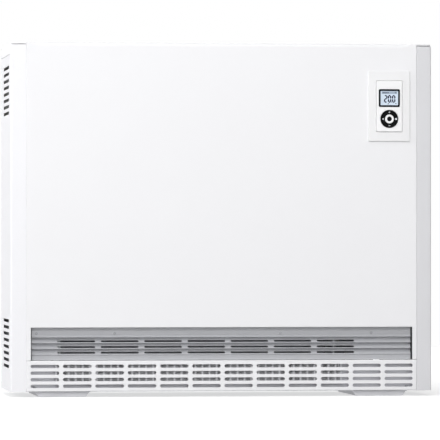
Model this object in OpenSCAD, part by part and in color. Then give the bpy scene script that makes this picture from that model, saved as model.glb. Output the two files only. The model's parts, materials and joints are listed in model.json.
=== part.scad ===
// Storage heater: a flat floor-standing heater in a folded sheet casing.
// A stack of heavy bricks is charged by three tube elements, and a crossflow fan blows room
// air through the stack and out of a louvred grille above the air inlet.
//
// Millimetres, +Z up, floor at Z = 0, X = 0 in the middle of the width.
// Every module is drawn in the casing's own depths: y = 0 is the front panel's face and
// y = case_d is the back of the casing. placed() moves a finished piece so that the origin
// is the middle of the footprint.

/* [Casing] */
// Overall width
case_w = 780; // [740:1:940]
// Overall height with the feet
case_h = 650; // [630:1:780]
// Depth of the casing, without the gap to the wall
case_d = 250; // [245:1:300]
// Gap between the casing and the wall
wall_gap = 25; // [20:1:35]
// Thickness of the casing sheet
sheet_t = 1.2; // [0.8:0.1:1.6]
// Height of the foot rails
foot_h = 10; // [8:1:14]
// Width of a foot rail at the top
foot_top_w = 98; // [92:1:115]
// Width of a foot rail on the floor
foot_floor_w = 88; // [50:1:90]
// Distance of a foot rail's middle from the side
foot_in = 96; // [90:1:130]
// Width of the side panel's turned front edge
corner_w = 29; // [24:0.5:34]
// How far that edge falls back towards the corner
corner_fall = 6; // [3:0.5:10]
// Bend radius of the side panel's corner
corner_r = 4; // [2.5:0.5:6]
// Rounding of the top edges
top_r = 6; // [3:0.5:8]
// Depth of the front panel's folded edges
fold_d = 16; // [10:1:17]
// Joint between two casing pieces
reveal = 0.8; // [0.4:0.1:1.2]
// Height of the top cover's rim over the corners
rim_h = 3.2; // [2.4:0.1:5]
// Height of the top cover's end flanges
flange_h = 20.6; // [12:0.1:22]

/* [Side vents] */
// Slots in one block
vent_count = 8; // [4:1:9]
// Distance from slot to slot
vent_pitch = 12; // [9:0.5:12]
// Height of a slot
vent_h = 5.6; // [4:0.1:6]
// Length of a slot
vent_len = 140; // [80:1:150]
// Distance of the slots from the front
vent_depth = 48; // [40:1:60]
// Height of the middle of the lower block
vent_low_z = 97; // [90:1:110]
// Distance of the middle of the upper block from the top
vent_down = 86; // [76:1:110]

/* [Outlet grille] */
// Width of the strips beside the grille window
window_leg = 7.75; // [6:0.25:16]
// Height of the grille window
outlet_h = 60; // [58:1:62]
// Height of the window's lower edge
outlet_z = 67.5; // [66:0.5:69]
// How far the grille's ribs stand back from the front
outlet_recess = 6.5; // [5:0.5:8]
// Distance from rib to rib
rib_pitch = 10.5; // [10:0.1:10.6]
// Depth of the ribs
rib_depth = 4.5; // [3:0.1:5]
// Groups of air slots in each rib
slot_groups = 7; // [3:1:7]
// Length of an air slot
slot_len = 70; // [40:1:72]
// Distance from slot to slot
slot_pitch = 80; // [76:1:80]
// How far the first slot starts before the brick stack
slot_lead = 12; // [0:1:20]
// Height of an air slot
slot_h = 2.9; // [2:0.1:3.2]

/* [Inlet grille] */
// Rows of slots
inlet_rows = 4; // [2:1:4]
// Length of a slot
inlet_slot_w = 52.5; // [40:0.5:54]
// Height of a slot
inlet_slot_h = 6.2; // [5:0.1:7]
// Distance from slot to slot along a row
inlet_pitch_x = 59.55; // [58:0.05:59.6]
// Distance from row to row
inlet_pitch_z = 12.1; // [11:0.1:12.2]
// Height of the lowest row
inlet_first_z = 20.2; // [19.8:0.1:21]
// Radius of the hinge pins
hinge_r = 2; // [1.5:0.1:2.4]
// Distance from bar to bar in the lint filter
filter_pitch = 13; // [10:0.5:16]
// Width of a bar in the lint filter
filter_bar = 4; // [2:0.5:5]

/* [Control] */
// Distance of the control's middle from the front panel's right edge
control_edge = 51.4; // [44:0.1:70]
// Distance of the control's middle from the top
control_down = 115; // [90:1:160]
// Width of the fascia
fascia_w = 77.5; // [70:0.5:80]
// Height of the fascia
fascia_h = 129; // [120:1:140]
// How far the fascia stands out
fascia_t = 3; // [2:0.1:4]
// Width of the control module
module_w = 48; // [44:0.5:52]
// Height of the control module
module_h = 94; // [88:1:100]
// How far the module stands out of the fascia
module_t = 2; // [1.5:0.1:2.5]
// Width of the display frame
display_w = 39.2; // [34:0.1:40]
// Height of the display frame
display_h = 32.6; // [28:0.1:33]
// Border of the display frame
display_border = 3.2; // [2:0.1:4]
// Outer radius of the ring key
ring_r = 16.3; // [15.5:0.1:19.6]
// Radius of the centre button
button_r = 8.2; // [7.9:0.1:8.4]
// Radius of the black cap in the centre button
cap_r = 4.3; // [3.6:0.1:5]
// Travel of the centre button
button_travel = 0.6; // [0.4:0.1:0.6]

/* [Heat store] */
// Layers of bricks
brick_layers = 7; // [6:1:7]
// Height of a brick
brick_h = 57; // [47:0.5:58]
// Width of a brick
brick_w = 248; // [230:1:250]
// Depth of a brick
brick_d = 124; // [103:1:132]
// Distance of the stack from the left side
core_left = 98; // [96:1:110]
// Front of the stack, from the front of the casing
core_y = 66; // [64:1:68]
// Joint between two bricks
brick_joint = 0.3; // [0.2:0.1:0.6]
// Width of the air channels in front of and behind the stack
channel_w = 8; // [6:1:8]
// Radius of the heating element's tube
element_r = 4.2; // [3.5:0.1:5]
// Radius of the groove that the tube lies in
groove_r = 6.2; // [5.8:0.1:7]
// Height of the load-bearing board under the stack
base_board_t = 30; // [25:1:32]
// Thickness of the board on top of the stack
top_board_t = 38; // [25:1:40]
// Thickness of the end boards
end_board_t = 40; // [30:1:42]
// Thickness of the rear board
rear_board_t = 40; // [30:1:42]
// Height of the plate that carries the stack
cradle_z = 134; // [132:1:136]
// Thickness of that plate and its supports
cradle_t = 3; // [2:0.5:4]

/* [Fan] */
// Radius of the crossflow rotor
rotor_r = 28; // [24:0.1:34]
// Blades round the rotor
blade_count = 20; // [14:1:24]
// Distance of the rotor's axis from the rear board
fan_back = 40; // [38:1:42]
// Height of the rotor's axis
fan_z = 66; // [64:0.5:68]
// Radius of the fan shaft
shaft_r = 3; // [2.5:0.1:4]
// Running clearance of shafts and pins
run_gap = 0.06; // [0.03:0.01:0.1]

/* [Back and wiring] */
// Bore of the cable gland
gland_bore_r = 7.5; // [5:0.5:8]
// Distance of the cable gland from the side
gland_in_x = 65; // [55:1:80]
// Height of the cable gland
gland_z = 62; // [55:1:70]
// Length of the wall bracket
bracket_w = 560; // [480:1:600]
// Distance between the wall bracket's two holes
bracket_hole_pitch = 500; // [300:1:500]
// Radius of the wall bracket's holes
bracket_hole_r = 4.5; // [3:0.1:5]

/* [Hidden] */
$fn = 48;
eps = 0.01;
lap = 1;

// Colours
white = "#F2F2F4";
module_white = "#F8F8F8";
silver = "#B4B5B9";
galvanised = "#9A9CA0";
dark = "#1C2028";
board_fill = "#D9D2C2";

// Casing
half_w = case_w / 2;
side_in = half_w - sheet_t;
panel_half_w = half_w - corner_w;
foot_x = half_w - foot_in;
rail_t = 2;
rail_y0 = 18;
rail_y1 = case_d - 14;
vent_high_z = case_h - vent_down;
button_proud = fascia_t + module_t + 1.5;
front_y = button_proud - (button_proud + case_d + wall_gap) / 2;
body_z = foot_h;
tray_z = body_z + sheet_t;
seam_z = case_h - flange_h;
back_in = case_d - sheet_t;
outlet_top = outlet_z + outlet_h;
side_flange = 15;
bend_clear = 2.4;
lip_h = 12;
tray_front_y = corner_fall + corner_r + 2.4;

// Inlet grille and its hinge
inlet_top = outlet_z - 0.6;
inlet_z = body_z + 0.6;
inlet_half_w = panel_half_w - 0.2;
inlet_cols = floor((2 * inlet_half_w - 4) / inlet_pitch_x);
inlet_fold = 8;
hinge_y = 6;
hinge_z = inlet_z + 4.4;
plate_y = 14;
hinge_len = 14;
hinge_foot = 16;
hinge_x = inlet_half_w - hinge_len - 1.5;
catch_x = 250;
filter_z0 = inlet_first_z + 4.5;
filter_z1 = inlet_top - 3.5;
inner_y = 20;
duct_y = 24;

// Outlet grille: heights of the folds, measured down from the window's upper edge
outlet_w = 2 * (panel_half_w - window_leg);
rib_count = 3;
rib_top = outlet_top - 18;
screw_z = outlet_top - 10.7;
screw_x = [for (along = [10.75, 154.75, 461.75, 630.75]) along - outlet_w / 2];

// Store
core_x = core_left - half_w;
stack_w = 2 * brick_w;
stack_h = brick_layers * brick_h;
core_x1 = core_x + stack_w;
core_y1 = core_y + brick_d;
board_z = cradle_z + cradle_t;
stack_z = board_z + base_board_t;
stack_top = stack_z + stack_h;
board_gap = 2;
left_x0 = core_x - board_gap - end_board_t;
right_x1 = core_x1 + board_gap + end_board_t;
front_board_y = 22;
rear_y0 = core_y1 + channel_w;
rear_y1 = rear_y0 + rear_board_t;
jacket_top = stack_top + board_gap + top_board_t;
wall_x = right_x1 + 2;
partition_y1 = back_in - sheet_t - 3.6;
support_l = core_x - 8;
support_r = core_x1 + 4;
slot_start_x = core_x - slot_lead;
filter_x0 = slot_start_x - 4;
filter_x1 = core_x1 + 18;
element_rows = [1, 3, 5];
leg_y0 = core_y + brick_d / 4;
leg_y1 = core_y1 - brick_d / 4;
leg_mid = (leg_y0 + leg_y1) / 2;
bend_r = (leg_y1 - leg_y0) / 2;
bend_x = core_x + groove_r + bend_r + 4;

function element_z(row) = stack_z + row * brick_h;

// Fan and flap
fan_y = rear_y0 - fan_back;
rotor_x0 = support_l + cradle_t + 5;
rotor_x1 = support_r - 5;
scroll_gap = 4;
tongue_y = fan_y + 8;
tongue_z = fan_z + rotor_r + 3;
mix_back_y = fan_y - rotor_r - 12;
mix_floor_z = outlet_z - 1;
flap_y = core_y + 20;
flap_z = cradle_z - 11;
flap_len = 36;
flap_pin_r = 2;
flap_bush_r = 5;
fan_bush_r = 11;
motor_r = 20;
motor_x0 = support_r + cradle_t;
motor_len = 38;

// Control: depths are counted from the front panel's face
control_x = panel_half_w - control_edge;
control_z = case_h - control_down;
ring_z = control_z - 23.5;
display_z = control_z + 15;
module_front = -fascia_t - module_t;
module_back = 12;
module_wall = 1.6;
module_flange = 12;
board_front = 2;
board_t = 1.6;
switch_h = 1.2;
gimbal_pin_y = -0.9;
gimbal_front = -3.6;
gimbal_back = -0.2;
gimbal_in = 5;
ring_pin_y = -2.6;
ring_t = 2;
skirt_end = -2.4;
skirt_r = ring_r - 2.8;
pin_r = 0.7;
post_x = ring_r - 1.3;
switch_r = 10;
stem_r = 3;
button_t = 1.9;
cap_t = 0.8;
stem_end = board_front - switch_h - button_travel - 0.1;

// Switch compartment: everything hangs on the partition wall
hang_x = wall_x + sheet_t;
bush_len = 7;
pin_x1 = wall_x + 18;
board_z0 = element_z(element_rows[1]) + 14;
board_z1 = element_z(element_rows[2]) - 14;
board_y0 = leg_mid - 16;
relay_y = leg_y1 + 23;
relay_z = element_z(element_rows[0]) - 19;
limiter_y = core_y - 32;
limiter_z = element_z(element_rows[1]) + 34;
terminal_z = 150;
terminal_y = leg_mid - 8;
terminal_depth = 24;
trunk_x = wall_x + 40;
trunk_y = leg_y1 + 13;

// Back
gland_x = half_w - gland_in_x;
bracket_z = seam_z - 66;
bracket_t = 2;
bracket_down = 30;
bracket_up = 40;
bracket_hole_up = 24;
wall_y = case_d + wall_gap;
gland_body_r = gland_bore_r + 3.5;
gland_in = 8;
gland_out = 6;
spacer_x = bracket_w / 2 - 20;
spacer_z = 110;

// ---- helpers ---------------------------------------------------------------------------

module placed() {
    translate([0, front_y, 0]) children();
}

// A block from its lowest to its highest corner
module block(low, high) {
    translate(low) cube(high - low);
}

// A rod of radius r along X, Y or Z, from a point and for a length
module rod_x(p, length, r) {
    translate(p) rotate([0, 90, 0]) cylinder(r = r, h = length);
}

module rod_y(p, length, r) {
    translate(p) rotate([-90, 0, 0]) cylinder(r = r, h = length);
}

module rod_z(p, length, r) {
    translate(p) cylinder(r = r, h = length);
}

// A tube along Y
module tube_y(p, length, r_out, r_in) {
    difference() {
        rod_y(p, length, r_out);
        rod_y(p - [0, lap, 0], length + 2 * lap, r_in);
    }
}

// A profile drawn as [y, z] points and carried along X
module along_x(x0, x1) {
    translate([x0, 0, 0])
        rotate([90, 0, 90])
            linear_extrude(x1 - x0) children();
}

// A profile drawn as [x, z] points and carried along Y
module along_y(y0, y1) {
    translate([0, y1, 0])
        rotate([90, 0, 0])
            linear_extrude(y1 - y0) children();
}

// A flat shape given height h and lifted to z
module raised(z, h) {
    translate([0, 0, z]) linear_extrude(h) children();
}

function unit(v) = v / norm(v);
function turned(v) = [-v[1], v[0]];
function last(list) = list[len(list) - 1];

// The corner points of a path shifted sideways by t, with mitred corners
function shifted(path, t) = [
    for (i = [0 : len(path) - 1])
        let (before = i == 0 ? unit(path[1] - path[0]) : unit(path[i] - path[i - 1]),
             after = i == len(path) - 1 ? before : unit(path[i + 1] - path[i]),
             n = turned(before) + turned(after))
            path[i] + n * t / (1 + before * after)
];

// One corner of a path, cut back and replaced by an arc of radius r
function corner_arc(a, p, b, r, steps) =
    let (u = unit(p - a), v = unit(b - p), side = u[0] * v[1] - u[1] * v[0] > 0 ? 1 : -1,
         bend = acos(max(-1, min(1, u * v))), start = p - u * r * tan(bend / 2),
         centre = start + turned(u) * r * side)
        bend < 1 ? [p] : [
            for (i = [0 : steps])
                let (q = start - centre, w = side * bend * i / steps)
                    centre + [q[0] * cos(w) - q[1] * sin(w), q[0] * sin(w) + q[1] * cos(w)]
        ];

function rounded(path, radii, steps) = [
    path[0],
    for (i = [1 : len(path) - 2])
        each corner_arc(path[i - 1], path[i], path[i + 1], radii[i], steps),
    last(path)
];

// Which way each corner of a path turns: 1 to the left, -1 to the right
function bend_side(path, i) =
    i == 0 || i == len(path) - 1 ? 0
    : (path[i][0] - path[i - 1][0]) * (path[i + 1][1] - path[i][1])
      - (path[i][1] - path[i - 1][1]) * (path[i + 1][0] - path[i][0]) > 0 ? 1 : -1;

// The section of a bent sheet: the path is its right-hand face, the sheet lies to the left
module bent_sheet(path, r, t, steps = 5) {
    near = [for (i = [0 : len(path) - 1]) bend_side(path, i) > 0 ? r + t : r];
    far = [for (i = [0 : len(path) - 1]) bend_side(path, i) > 0 ? r : r + t];
    other = rounded(shifted(path, t), far, steps);
    polygon(concat(rounded(path, near, steps),
                   [for (i = [len(other) - 1 : -1 : 0]) other[i]]));
}

// A slot with round ends through a sheet that faces along Y, from its left end
module slot_y(x, z, length, height, y0, y1) {
    block([x + height / 2, y0, z - height / 2], [x + length - height / 2, y1, z + height / 2]);
    for (end = [x + height / 2, x + length - height / 2])
        rod_y([end, y0, z], y1 - y0, height / 2);
}

// A slot with round ends through a sheet that faces along X, from its front end
module slot_x(y, z, length, height, x0, x1) {
    block([x0, y + height / 2, z - height / 2], [x1, y + length - height / 2, z + height / 2]);
    for (end = [y + height / 2, y + length - height / 2])
        rod_x([x0, end, z], x1 - x0, height / 2);
}

// A pan head screw whose head faces -Y: the head's seat is at y
module screw_y(x, y, z, head_r = 3.6, length = 7) {
    rod_y([x, y - 1.6, z], 1.6, head_r);
    rod_y([x, y - eps, z], length, 1.6);
}

module mirrored_x() {
    mirror([1, 0, 0]) children();
}

// ---- casing ----------------------------------------------------------------------------

// The outside of the front panel, grown or shrunk by d
module front_block(d) {
    r = top_r - d;
    intersection() {
        along_x(-panel_half_w + d, panel_half_w - d)
            union() {
                translate([d, outlet_z + d])
                    square([fold_d - d + (d > 0 ? lap : 0), case_h - outlet_z - d - top_r]);
                translate([d + r, case_h - top_r])
                    square([fold_d - d - r + (d > 0 ? lap : 0), r]);
                intersection() {
                    translate([top_r, case_h - top_r]) circle(r = r);
                    translate([d, case_h - top_r]) square([r, r]);
                }
            }
        block([-half_w, -lap, 0], [half_w, fold_d + 2 * lap, case_h + lap]);
    }
}

module front_panel() {
    window_half = outlet_w / 2;
    color(white)
        difference() {
            front_block(0);
            front_block(sheet_t);
            // window of the outlet grille, open towards the floor
            block([-window_half, -lap, outlet_z - lap],
                  [window_half, fold_d + lap, outlet_top]);
            // opening behind the fascia
            block([control_x - module_w / 2 - 4, -lap, control_z - module_h / 2 - 4],
                  [control_x + module_w / 2 + 4, sheet_t + lap, control_z + module_h / 2 + 4]);
        }
    // folded edge over the window
    color(white)
        block([-window_half, sheet_t, outlet_top],
              [window_half, outlet_recess - 2, outlet_top + sheet_t]);
}

// The path of the right side panel's outer face in plan, as [x, y]
function side_path() = [
    [panel_half_w + reveal, tray_front_y - 0.4],
    [panel_half_w + reveal, 1],
    [half_w - corner_r, 1 + corner_fall],
    [half_w, 1 + corner_fall + corner_r],
    [half_w, case_d],
    [half_w - side_flange, case_d]
];

module side_section() {
    bent_sheet(side_path(), 1.6, sheet_t, 4);
}

module side_panel_right() {
    color(white)
        difference() {
            union() {
                // wall with its corner and its rear flange, up to the cover's seam
                translate([0, 0, body_z])
                    linear_extrude(seam_z - reveal - body_z) side_section();
                // the corner goes on up to the cover's rim
                intersection() {
                    translate([0, 0, seam_z - 2])
                        linear_extrude(case_h - rim_h - 0.6 - seam_z + 2) side_section();
                    block([0, -lap, 0], [half_w + lap, corner_fall + corner_r + 4, case_h]);
                }
                // lip behind the cover's end flange
                block([side_in - reveal / 2 - 2 * sheet_t, 40, seam_z - 20],
                      [side_in - reveal / 2 - sheet_t, back_in - 20, seam_z + lip_h]);
                block([side_in - reveal / 2 - 2 * sheet_t, 40, seam_z - 20],
                      [side_in + eps, back_in - 20, seam_z - 16]);
            }
            for (mid = [vent_low_z, vent_high_z], i = [0 : vent_count - 1])
                slot_x(vent_depth, mid + (i - (vent_count - 1) / 2) * vent_pitch,
                       vent_len, vent_h, side_in - 6, half_w + lap);
        }
}

module side_panel_left() {
    mirrored_x() side_panel_right();
}

module top_cover() {
    front = fold_d + reveal;
    ear_out = half_w - 1.4;
    color(white) {
        // plate with rounded ends and end flanges
        along_y(front, case_d)
            bent_sheet([[half_w, seam_z], [half_w, case_h],
                        [-half_w, case_h], [-half_w, seam_z]], top_r - sheet_t, sheet_t, 6);
        // rear flange
        block([-half_w + top_r, back_in, seam_z], [half_w - top_r, case_d, case_h - sheet_t + eps]);
        // ears over the corners of the side panels
        for (s = [-1, 1])
            scale([s, 1, 1])
                raised(case_h - rim_h, rim_h)
                    polygon([[panel_half_w + reveal, 2.2], [half_w - corner_r - 1, 2 + corner_fall],
                             [ear_out, 2 + corner_fall + corner_r], [ear_out, front + eps],
                             [panel_half_w + reveal, front + eps]]);
    }
}

module rear_panel() {
    color(galvanised)
        difference() {
            block([-side_in + bend_clear, back_in - sheet_t, tray_z],
                  [side_in - bend_clear, back_in, seam_z + 8]);
            rod_y([gland_x, back_in - sheet_t - lap, gland_z], sheet_t + 2 * lap, gland_body_r + 0.2);
        }
}

module base_tray() {
    tray_in = side_in - sheet_t;
    color(galvanised) {
        block([-side_in, tray_front_y, body_z], [side_in, back_in - 8, tray_z]);
        block([-side_in + bend_clear, back_in - 8 - eps, body_z], [side_in - bend_clear, back_in, tray_z]);
        for (s = [-1, 1])
            block([s > 0 ? tray_in : -side_in, 22, tray_z - eps],
                  [s > 0 ? side_in : -tray_in, back_in - sheet_t - 10, body_z + 18]);
    }
}

module foot_rail(x) {
    top_z = foot_h - rail_t;
    color("#C9C9CD") {
        along_y(rail_y0, rail_y1)
            translate([x, 0])
                bent_sheet([[-foot_top_w / 2, top_z], [-foot_floor_w / 2, 0],
                            [foot_floor_w / 2, 0], [foot_top_w / 2, top_z]], 1.5, rail_t, 4);
        // closed ends
        for (y = [rail_y0, rail_y1 - rail_t])
            along_y(y, y + rail_t)
                translate([x, 0])
                    polygon([[-foot_top_w / 2 + 1, top_z], [-foot_floor_w / 2 + 1, 1],
                             [foot_floor_w / 2 - 1, 1], [foot_top_w / 2 - 1, top_z],
                             [foot_top_w / 2 - 1, foot_h], [-foot_top_w / 2 + 1, foot_h]]);
        // flange strips that the tray is riveted to
        for (s = [-1, 1])
            block([x + s * foot_top_w / 2 - (s > 0 ? 7 : 3), rail_y0, top_z],
                  [x + s * foot_top_w / 2 + (s > 0 ? 3 : 7), rail_y1, foot_h]);
    }
}

module foot_rail_left() {
    foot_rail(-foot_x);
}

module foot_rail_right() {
    foot_rail(foot_x);
}

// ---- outlet grille ---------------------------------------------------------------------

// Front face of the grille as [y, z], from the top edge downwards
function grille_path() =
    let (crest = outlet_recess, valley = outlet_recess + rib_depth, z = outlet_top)
        concat(
            [[crest + 3, z - 0.4], [crest + 5, z - 3.9], [crest + 2.5, z - 7],
             [crest + 2.5, z - 14.2], [crest, rib_top]],
            [for (i = [0 : rib_count - 1]) each [[valley, rib_top - 5 - i * rib_pitch],
                                     [crest, rib_top - (i + 1) * rib_pitch]]],
            [[crest + 2, outlet_z + 8.6], [crest + 2, outlet_z + 2.4],
             [crest + 0.8, outlet_z + 0.4]]);

module outlet_grille() {
    color(silver)
        difference() {
            along_x(-outlet_w / 2 + 0.6, outlet_w / 2 - 0.6)
                bent_sheet(grille_path(), 0.5, 1.1, 3);
            for (row = [0 : rib_count - 1], i = [0 : slot_groups - 1])
                let (x = slot_start_x + i * slot_pitch, z = rib_top - 5.1 - row * rib_pitch)
                    block([x, outlet_recess - lap, z - slot_h],
                          [x + slot_len, outlet_recess + rib_depth + 4, z]);
            for (x = screw_x)
                rod_y([x, 0, screw_z], 20, 1.75);
        }
}

module grille_screws() {
    color("#D4D5D8")
        for (x = screw_x)
            screw_y(x, outlet_recess + 2.5, screw_z, 2.6, 5);
}

// Bar behind the grille's upper flange
module grille_rail() {
    y = outlet_recess + 3.6;
    color(galvanised)
        difference() {
            union() {
                block([-outlet_w / 2 + 2, y, outlet_top - 14], [outlet_w / 2 - 2, y + 1.2, outlet_top - 8]);
                block([-outlet_w / 2 + 2, y + eps, outlet_top - 9.2],
                      [outlet_w / 2 - 2, inner_y, outlet_top - 8]);
                block([-outlet_w / 2 + 2, inner_y - 1.2, outlet_top - 9.2],
                      [outlet_w / 2 - 2, inner_y, outlet_top + 6]);
            }
            for (x = screw_x)
                rod_y([x, 0, screw_z], 17, 1.7);
        }
}

// ---- inlet grille ----------------------------------------------------------------------

module inlet_grille() {
    left = -inlet_cols * inlet_pitch_x / 2 + (inlet_pitch_x - inlet_slot_w) / 2;
    color(white)
        difference() {
            block([-inlet_half_w, 0, inlet_z], [inlet_half_w, inlet_fold, inlet_top]);
            block([-inlet_half_w + sheet_t, sheet_t, inlet_z + sheet_t],
                  [inlet_half_w - sheet_t, inlet_fold + lap, inlet_top - sheet_t]);
            for (row = [0 : inlet_rows - 1], col = [0 : inlet_cols - 1])
                slot_y(left + col * inlet_pitch_x, inlet_first_z + row * inlet_pitch_z,
                       inlet_slot_w, inlet_slot_h, -lap, sheet_t + lap);
            rod_x([-half_w, hinge_y, hinge_z], case_w, hinge_r + run_gap);
            // notches that let the lower fold pass the hinge brackets
            for (s = [-1, 1])
                block([s * hinge_x - 3.5, sheet_t, inlet_z - lap],
                      [s * hinge_x + 3.5, inlet_fold + lap, inlet_z + sheet_t + lap]);
        }
}

// Two brackets on the base tray, each with a pin for the grille's side fold
module grille_hinges() {
    x = inlet_half_w - hinge_len;
    color(galvanised)
        for (s = [-1, 1])
            scale([s, 1, 1]) {
                rod_x([x, hinge_y, hinge_z], hinge_len - 0.1, hinge_r);
                block([x - 3, hinge_y - 3, tray_z + 1.8], [x, 20, hinge_z + 3]);
                block([x - hinge_foot, plate_y + 1.2, tray_z], [x, 30, tray_z + 2]);
            }
}

// Leaf catches that hold the grille's upper fold
module grille_catches() {
    leaf_z = inlet_top - sheet_t - 0.4;
    color("#B9BABD")
        for (x = [-catch_x, catch_x]) {
            block([x - 8, plate_y - 1, leaf_z - 4.8], [x + 8, plate_y, leaf_z]);
            block([x - 8, inlet_fold + 0.35, leaf_z - 1], [x + 8, plate_y, leaf_z]);
        }
}

// Frame with upright bars, clipped into the back of the grille
module lint_filter() {
    y0 = sheet_t + 3.4;
    y1 = inlet_fold + 1;
    rim = 3;
    count = floor((filter_x1 - filter_x0 - 2 * rim) / filter_pitch);
    first = (filter_x0 + filter_x1 - count * filter_pitch) / 2 + (filter_pitch - filter_bar) / 2;
    color("#A9AAAE") {
        difference() {
            block([filter_x0, y0, filter_z0], [filter_x1, y1, filter_z1]);
            block([filter_x0 + rim, y0 - lap, filter_z0 + rim], [filter_x1 - rim, y1 + lap, filter_z1 - rim]);
        }
        for (i = [0 : count - 1])
            block([first + i * filter_pitch, y0 + 1, filter_z0 + rim - eps],
                  [first + i * filter_pitch + filter_bar, y1 - 1, filter_z1 - rim + eps]);
        // clips to the grille's face
        for (x = [filter_x0 + 12, (filter_x0 + filter_x1) / 2, filter_x1 - 18],
             z = [filter_z0, filter_z1 - 1.4])
            block([x, sheet_t, z], [x + 6, y0 + eps, z + 1.4]);
    }
}

// Bare sheet behind the inlet grille, open in front of the fan
module inlet_plate() {
    color(galvanised) {
        difference() {
            block([-inlet_half_w + 4, plate_y, tray_z], [inlet_half_w - 4, plate_y + 1, mix_floor_z]);
            block([filter_x0 + 6, plate_y - lap, filter_z0 + 3],
                  [filter_x1 - 6, plate_y + 1 + lap, filter_z1 - 2]);
            for (s = [-1, 1])
                block([s * hinge_x - 3, plate_y - lap, tray_z - lap],
                      [s * hinge_x + 3, plate_y + 1 + lap, hinge_z + 4]);
        }
        block([-inlet_half_w + 4, plate_y, mix_floor_z - 1],
              [inlet_half_w - 4, inner_y - 0.2, mix_floor_z]);
        block([support_l + cradle_t, plate_y, mix_floor_z - 1], [support_r, duct_y, mix_floor_z]);
    }
}

// ---- control ---------------------------------------------------------------------------

module control_fascia() {
    color(white)
        difference() {
            block([control_x - fascia_w / 2, -fascia_t, control_z - fascia_h / 2],
                  [control_x + fascia_w / 2, 0, control_z + fascia_h / 2]);
            block([control_x - module_w / 2 - 0.15, -fascia_t - lap, control_z - module_h / 2 - 0.15],
                  [control_x + module_w / 2 + 0.15, lap, control_z + module_h / 2 + 0.15]);
        }
}

// Tray with the display window and the hole of the ring key; its flange lies behind the sheet
module control_module() {
    color(module_white)
        difference() {
            union() {
                block([control_x - module_w / 2, module_front, control_z - module_h / 2],
                      [control_x + module_w / 2, module_back, control_z + module_h / 2]);
                block([control_x - module_w / 2 - module_flange, sheet_t,
                       control_z - module_h / 2 - module_flange],
                      [control_x + module_w / 2 + module_flange, sheet_t + 2,
                       control_z + module_h / 2 + module_flange]);
            }
            block([control_x - module_w / 2 + module_wall, module_front + 2,
                   control_z - module_h / 2 + module_wall],
                  [control_x + module_w / 2 - module_wall, module_back - module_wall,
                   control_z + module_h / 2 - module_wall]);
            block([control_x - display_w / 2 - 0.1, module_front - lap, display_z - display_h / 2 - 0.1],
                  [control_x + display_w / 2 + 0.1, module_front + 3, display_z + display_h / 2 + 0.1]);
            rod_y([control_x, module_front - lap, ring_z], 4, ring_r + 0.5);
        }
}

module display_frame() {
    color(dark)
        difference() {
            block([control_x - display_w / 2, module_front - 0.4, display_z - display_h / 2],
                  [control_x + display_w / 2, module_front + 1.2, display_z + display_h / 2]);
            block([control_x - display_w / 2 + display_border, module_front - lap,
                   display_z - display_h / 2 + display_border],
                  [control_x + display_w / 2 - display_border, module_front + 2,
                   display_z + display_h / 2 - display_border]);
        }
}

// Display with its light guide, resting on the board
module display_screen() {
    glass_x = display_w / 2 - display_border - 0.1;
    glass_z = display_h / 2 - display_border - 0.1;
    color("#BFD6EE") {
        block([control_x - glass_x, module_front + 0.3, display_z - glass_z],
              [control_x + glass_x, module_front + 1.3, display_z + glass_z]);
        block([control_x - display_w / 2 + 0.4, module_front + 1.2, display_z - display_h / 2 + 0.4],
              [control_x + display_w / 2 - 0.4, board_front, display_z + display_h / 2 - 0.4]);
    }
}

// Ring with a skirt that turns on the gimbal's upright pins
module ring_key() {
    color(dark)
        difference() {
            union() {
                tube_y([control_x, module_front - 1, ring_z], ring_t, ring_r, button_r + 0.4);
                tube_y([control_x, module_front - 1 + ring_t - eps, ring_z],
                       skirt_end - (module_front - 1 + ring_t), skirt_r, button_r + 0.8);
            }
            rod_z([control_x, ring_pin_y, ring_z - 20], 40, pin_r + run_gap);
        }
}

// The gimbal lets the ring rock up and down as well as left and right
module key_gimbal() {
    color("#77797E")
        difference() {
            union() {
                tube_y([control_x, gimbal_front, ring_z], gimbal_back - gimbal_front, button_r,
                       gimbal_in);
                for (s = [-1, 1]) {
                    rod_z([control_x, ring_pin_y, ring_z + (s > 0 ? button_r - 0.8 : -skirt_r + 1.5)],
                          skirt_r - 1.5 - (button_r - 0.8), pin_r);
                    rod_x([control_x + (s > 0 ? button_r - 0.8 : -post_x - 0.6), gimbal_pin_y, ring_z],
                          post_x + 0.6 - (button_r - 0.8), pin_r);
                }
            }
            rod_y([control_x, gimbal_front - lap, ring_z], 6, gimbal_in);
        }
}

// Disc on the board with the gimbal's two posts and the sleeve of the centre button
module key_carrier() {
    color("#C4C5C8")
        difference() {
            union() {
                rod_y([control_x, board_front - 1, ring_z], 1, ring_r + 0.5);
                rod_y([control_x, -1.6, ring_z], board_front + 0.6 + eps, stem_r + 1.2);
                for (s = [-1, 1])
                    block([control_x + s * post_x - 0.9, -2, ring_z - 1.6],
                          [control_x + s * post_x + 0.9, board_front - 1 + eps, ring_z + 1.6]);
            }
            rod_y([control_x, -lap - 2, ring_z], 6, stem_r + run_gap + 0.02);
            for (s = [-1, 1])
                rod_x([control_x + s * post_x - 4, gimbal_pin_y, ring_z], 8, pin_r + run_gap);
            for (a = [0 : 90 : 270])
                translate([control_x, 0, ring_z])
                    rotate([0, a, 0])
                        block([switch_r - 2.5, 0, -2.6], [switch_r + 2.5, 3, 2.6]);
        }
}

module centre_button() {
    color(module_white)
        difference() {
            union() {
                rod_y([control_x, -button_proud, ring_z], button_t, button_r);
                rod_y([control_x, -button_proud + button_t - eps, ring_z],
                      button_proud - button_t + stem_end, stem_r);
            }
            rod_y([control_x, -button_proud - lap, ring_z], lap + cap_t, cap_r);
        }
}

module button_cap() {
    color(dark)
        rod_y([control_x, -button_proud, ring_z], cap_t, cap_r);
}

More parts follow.
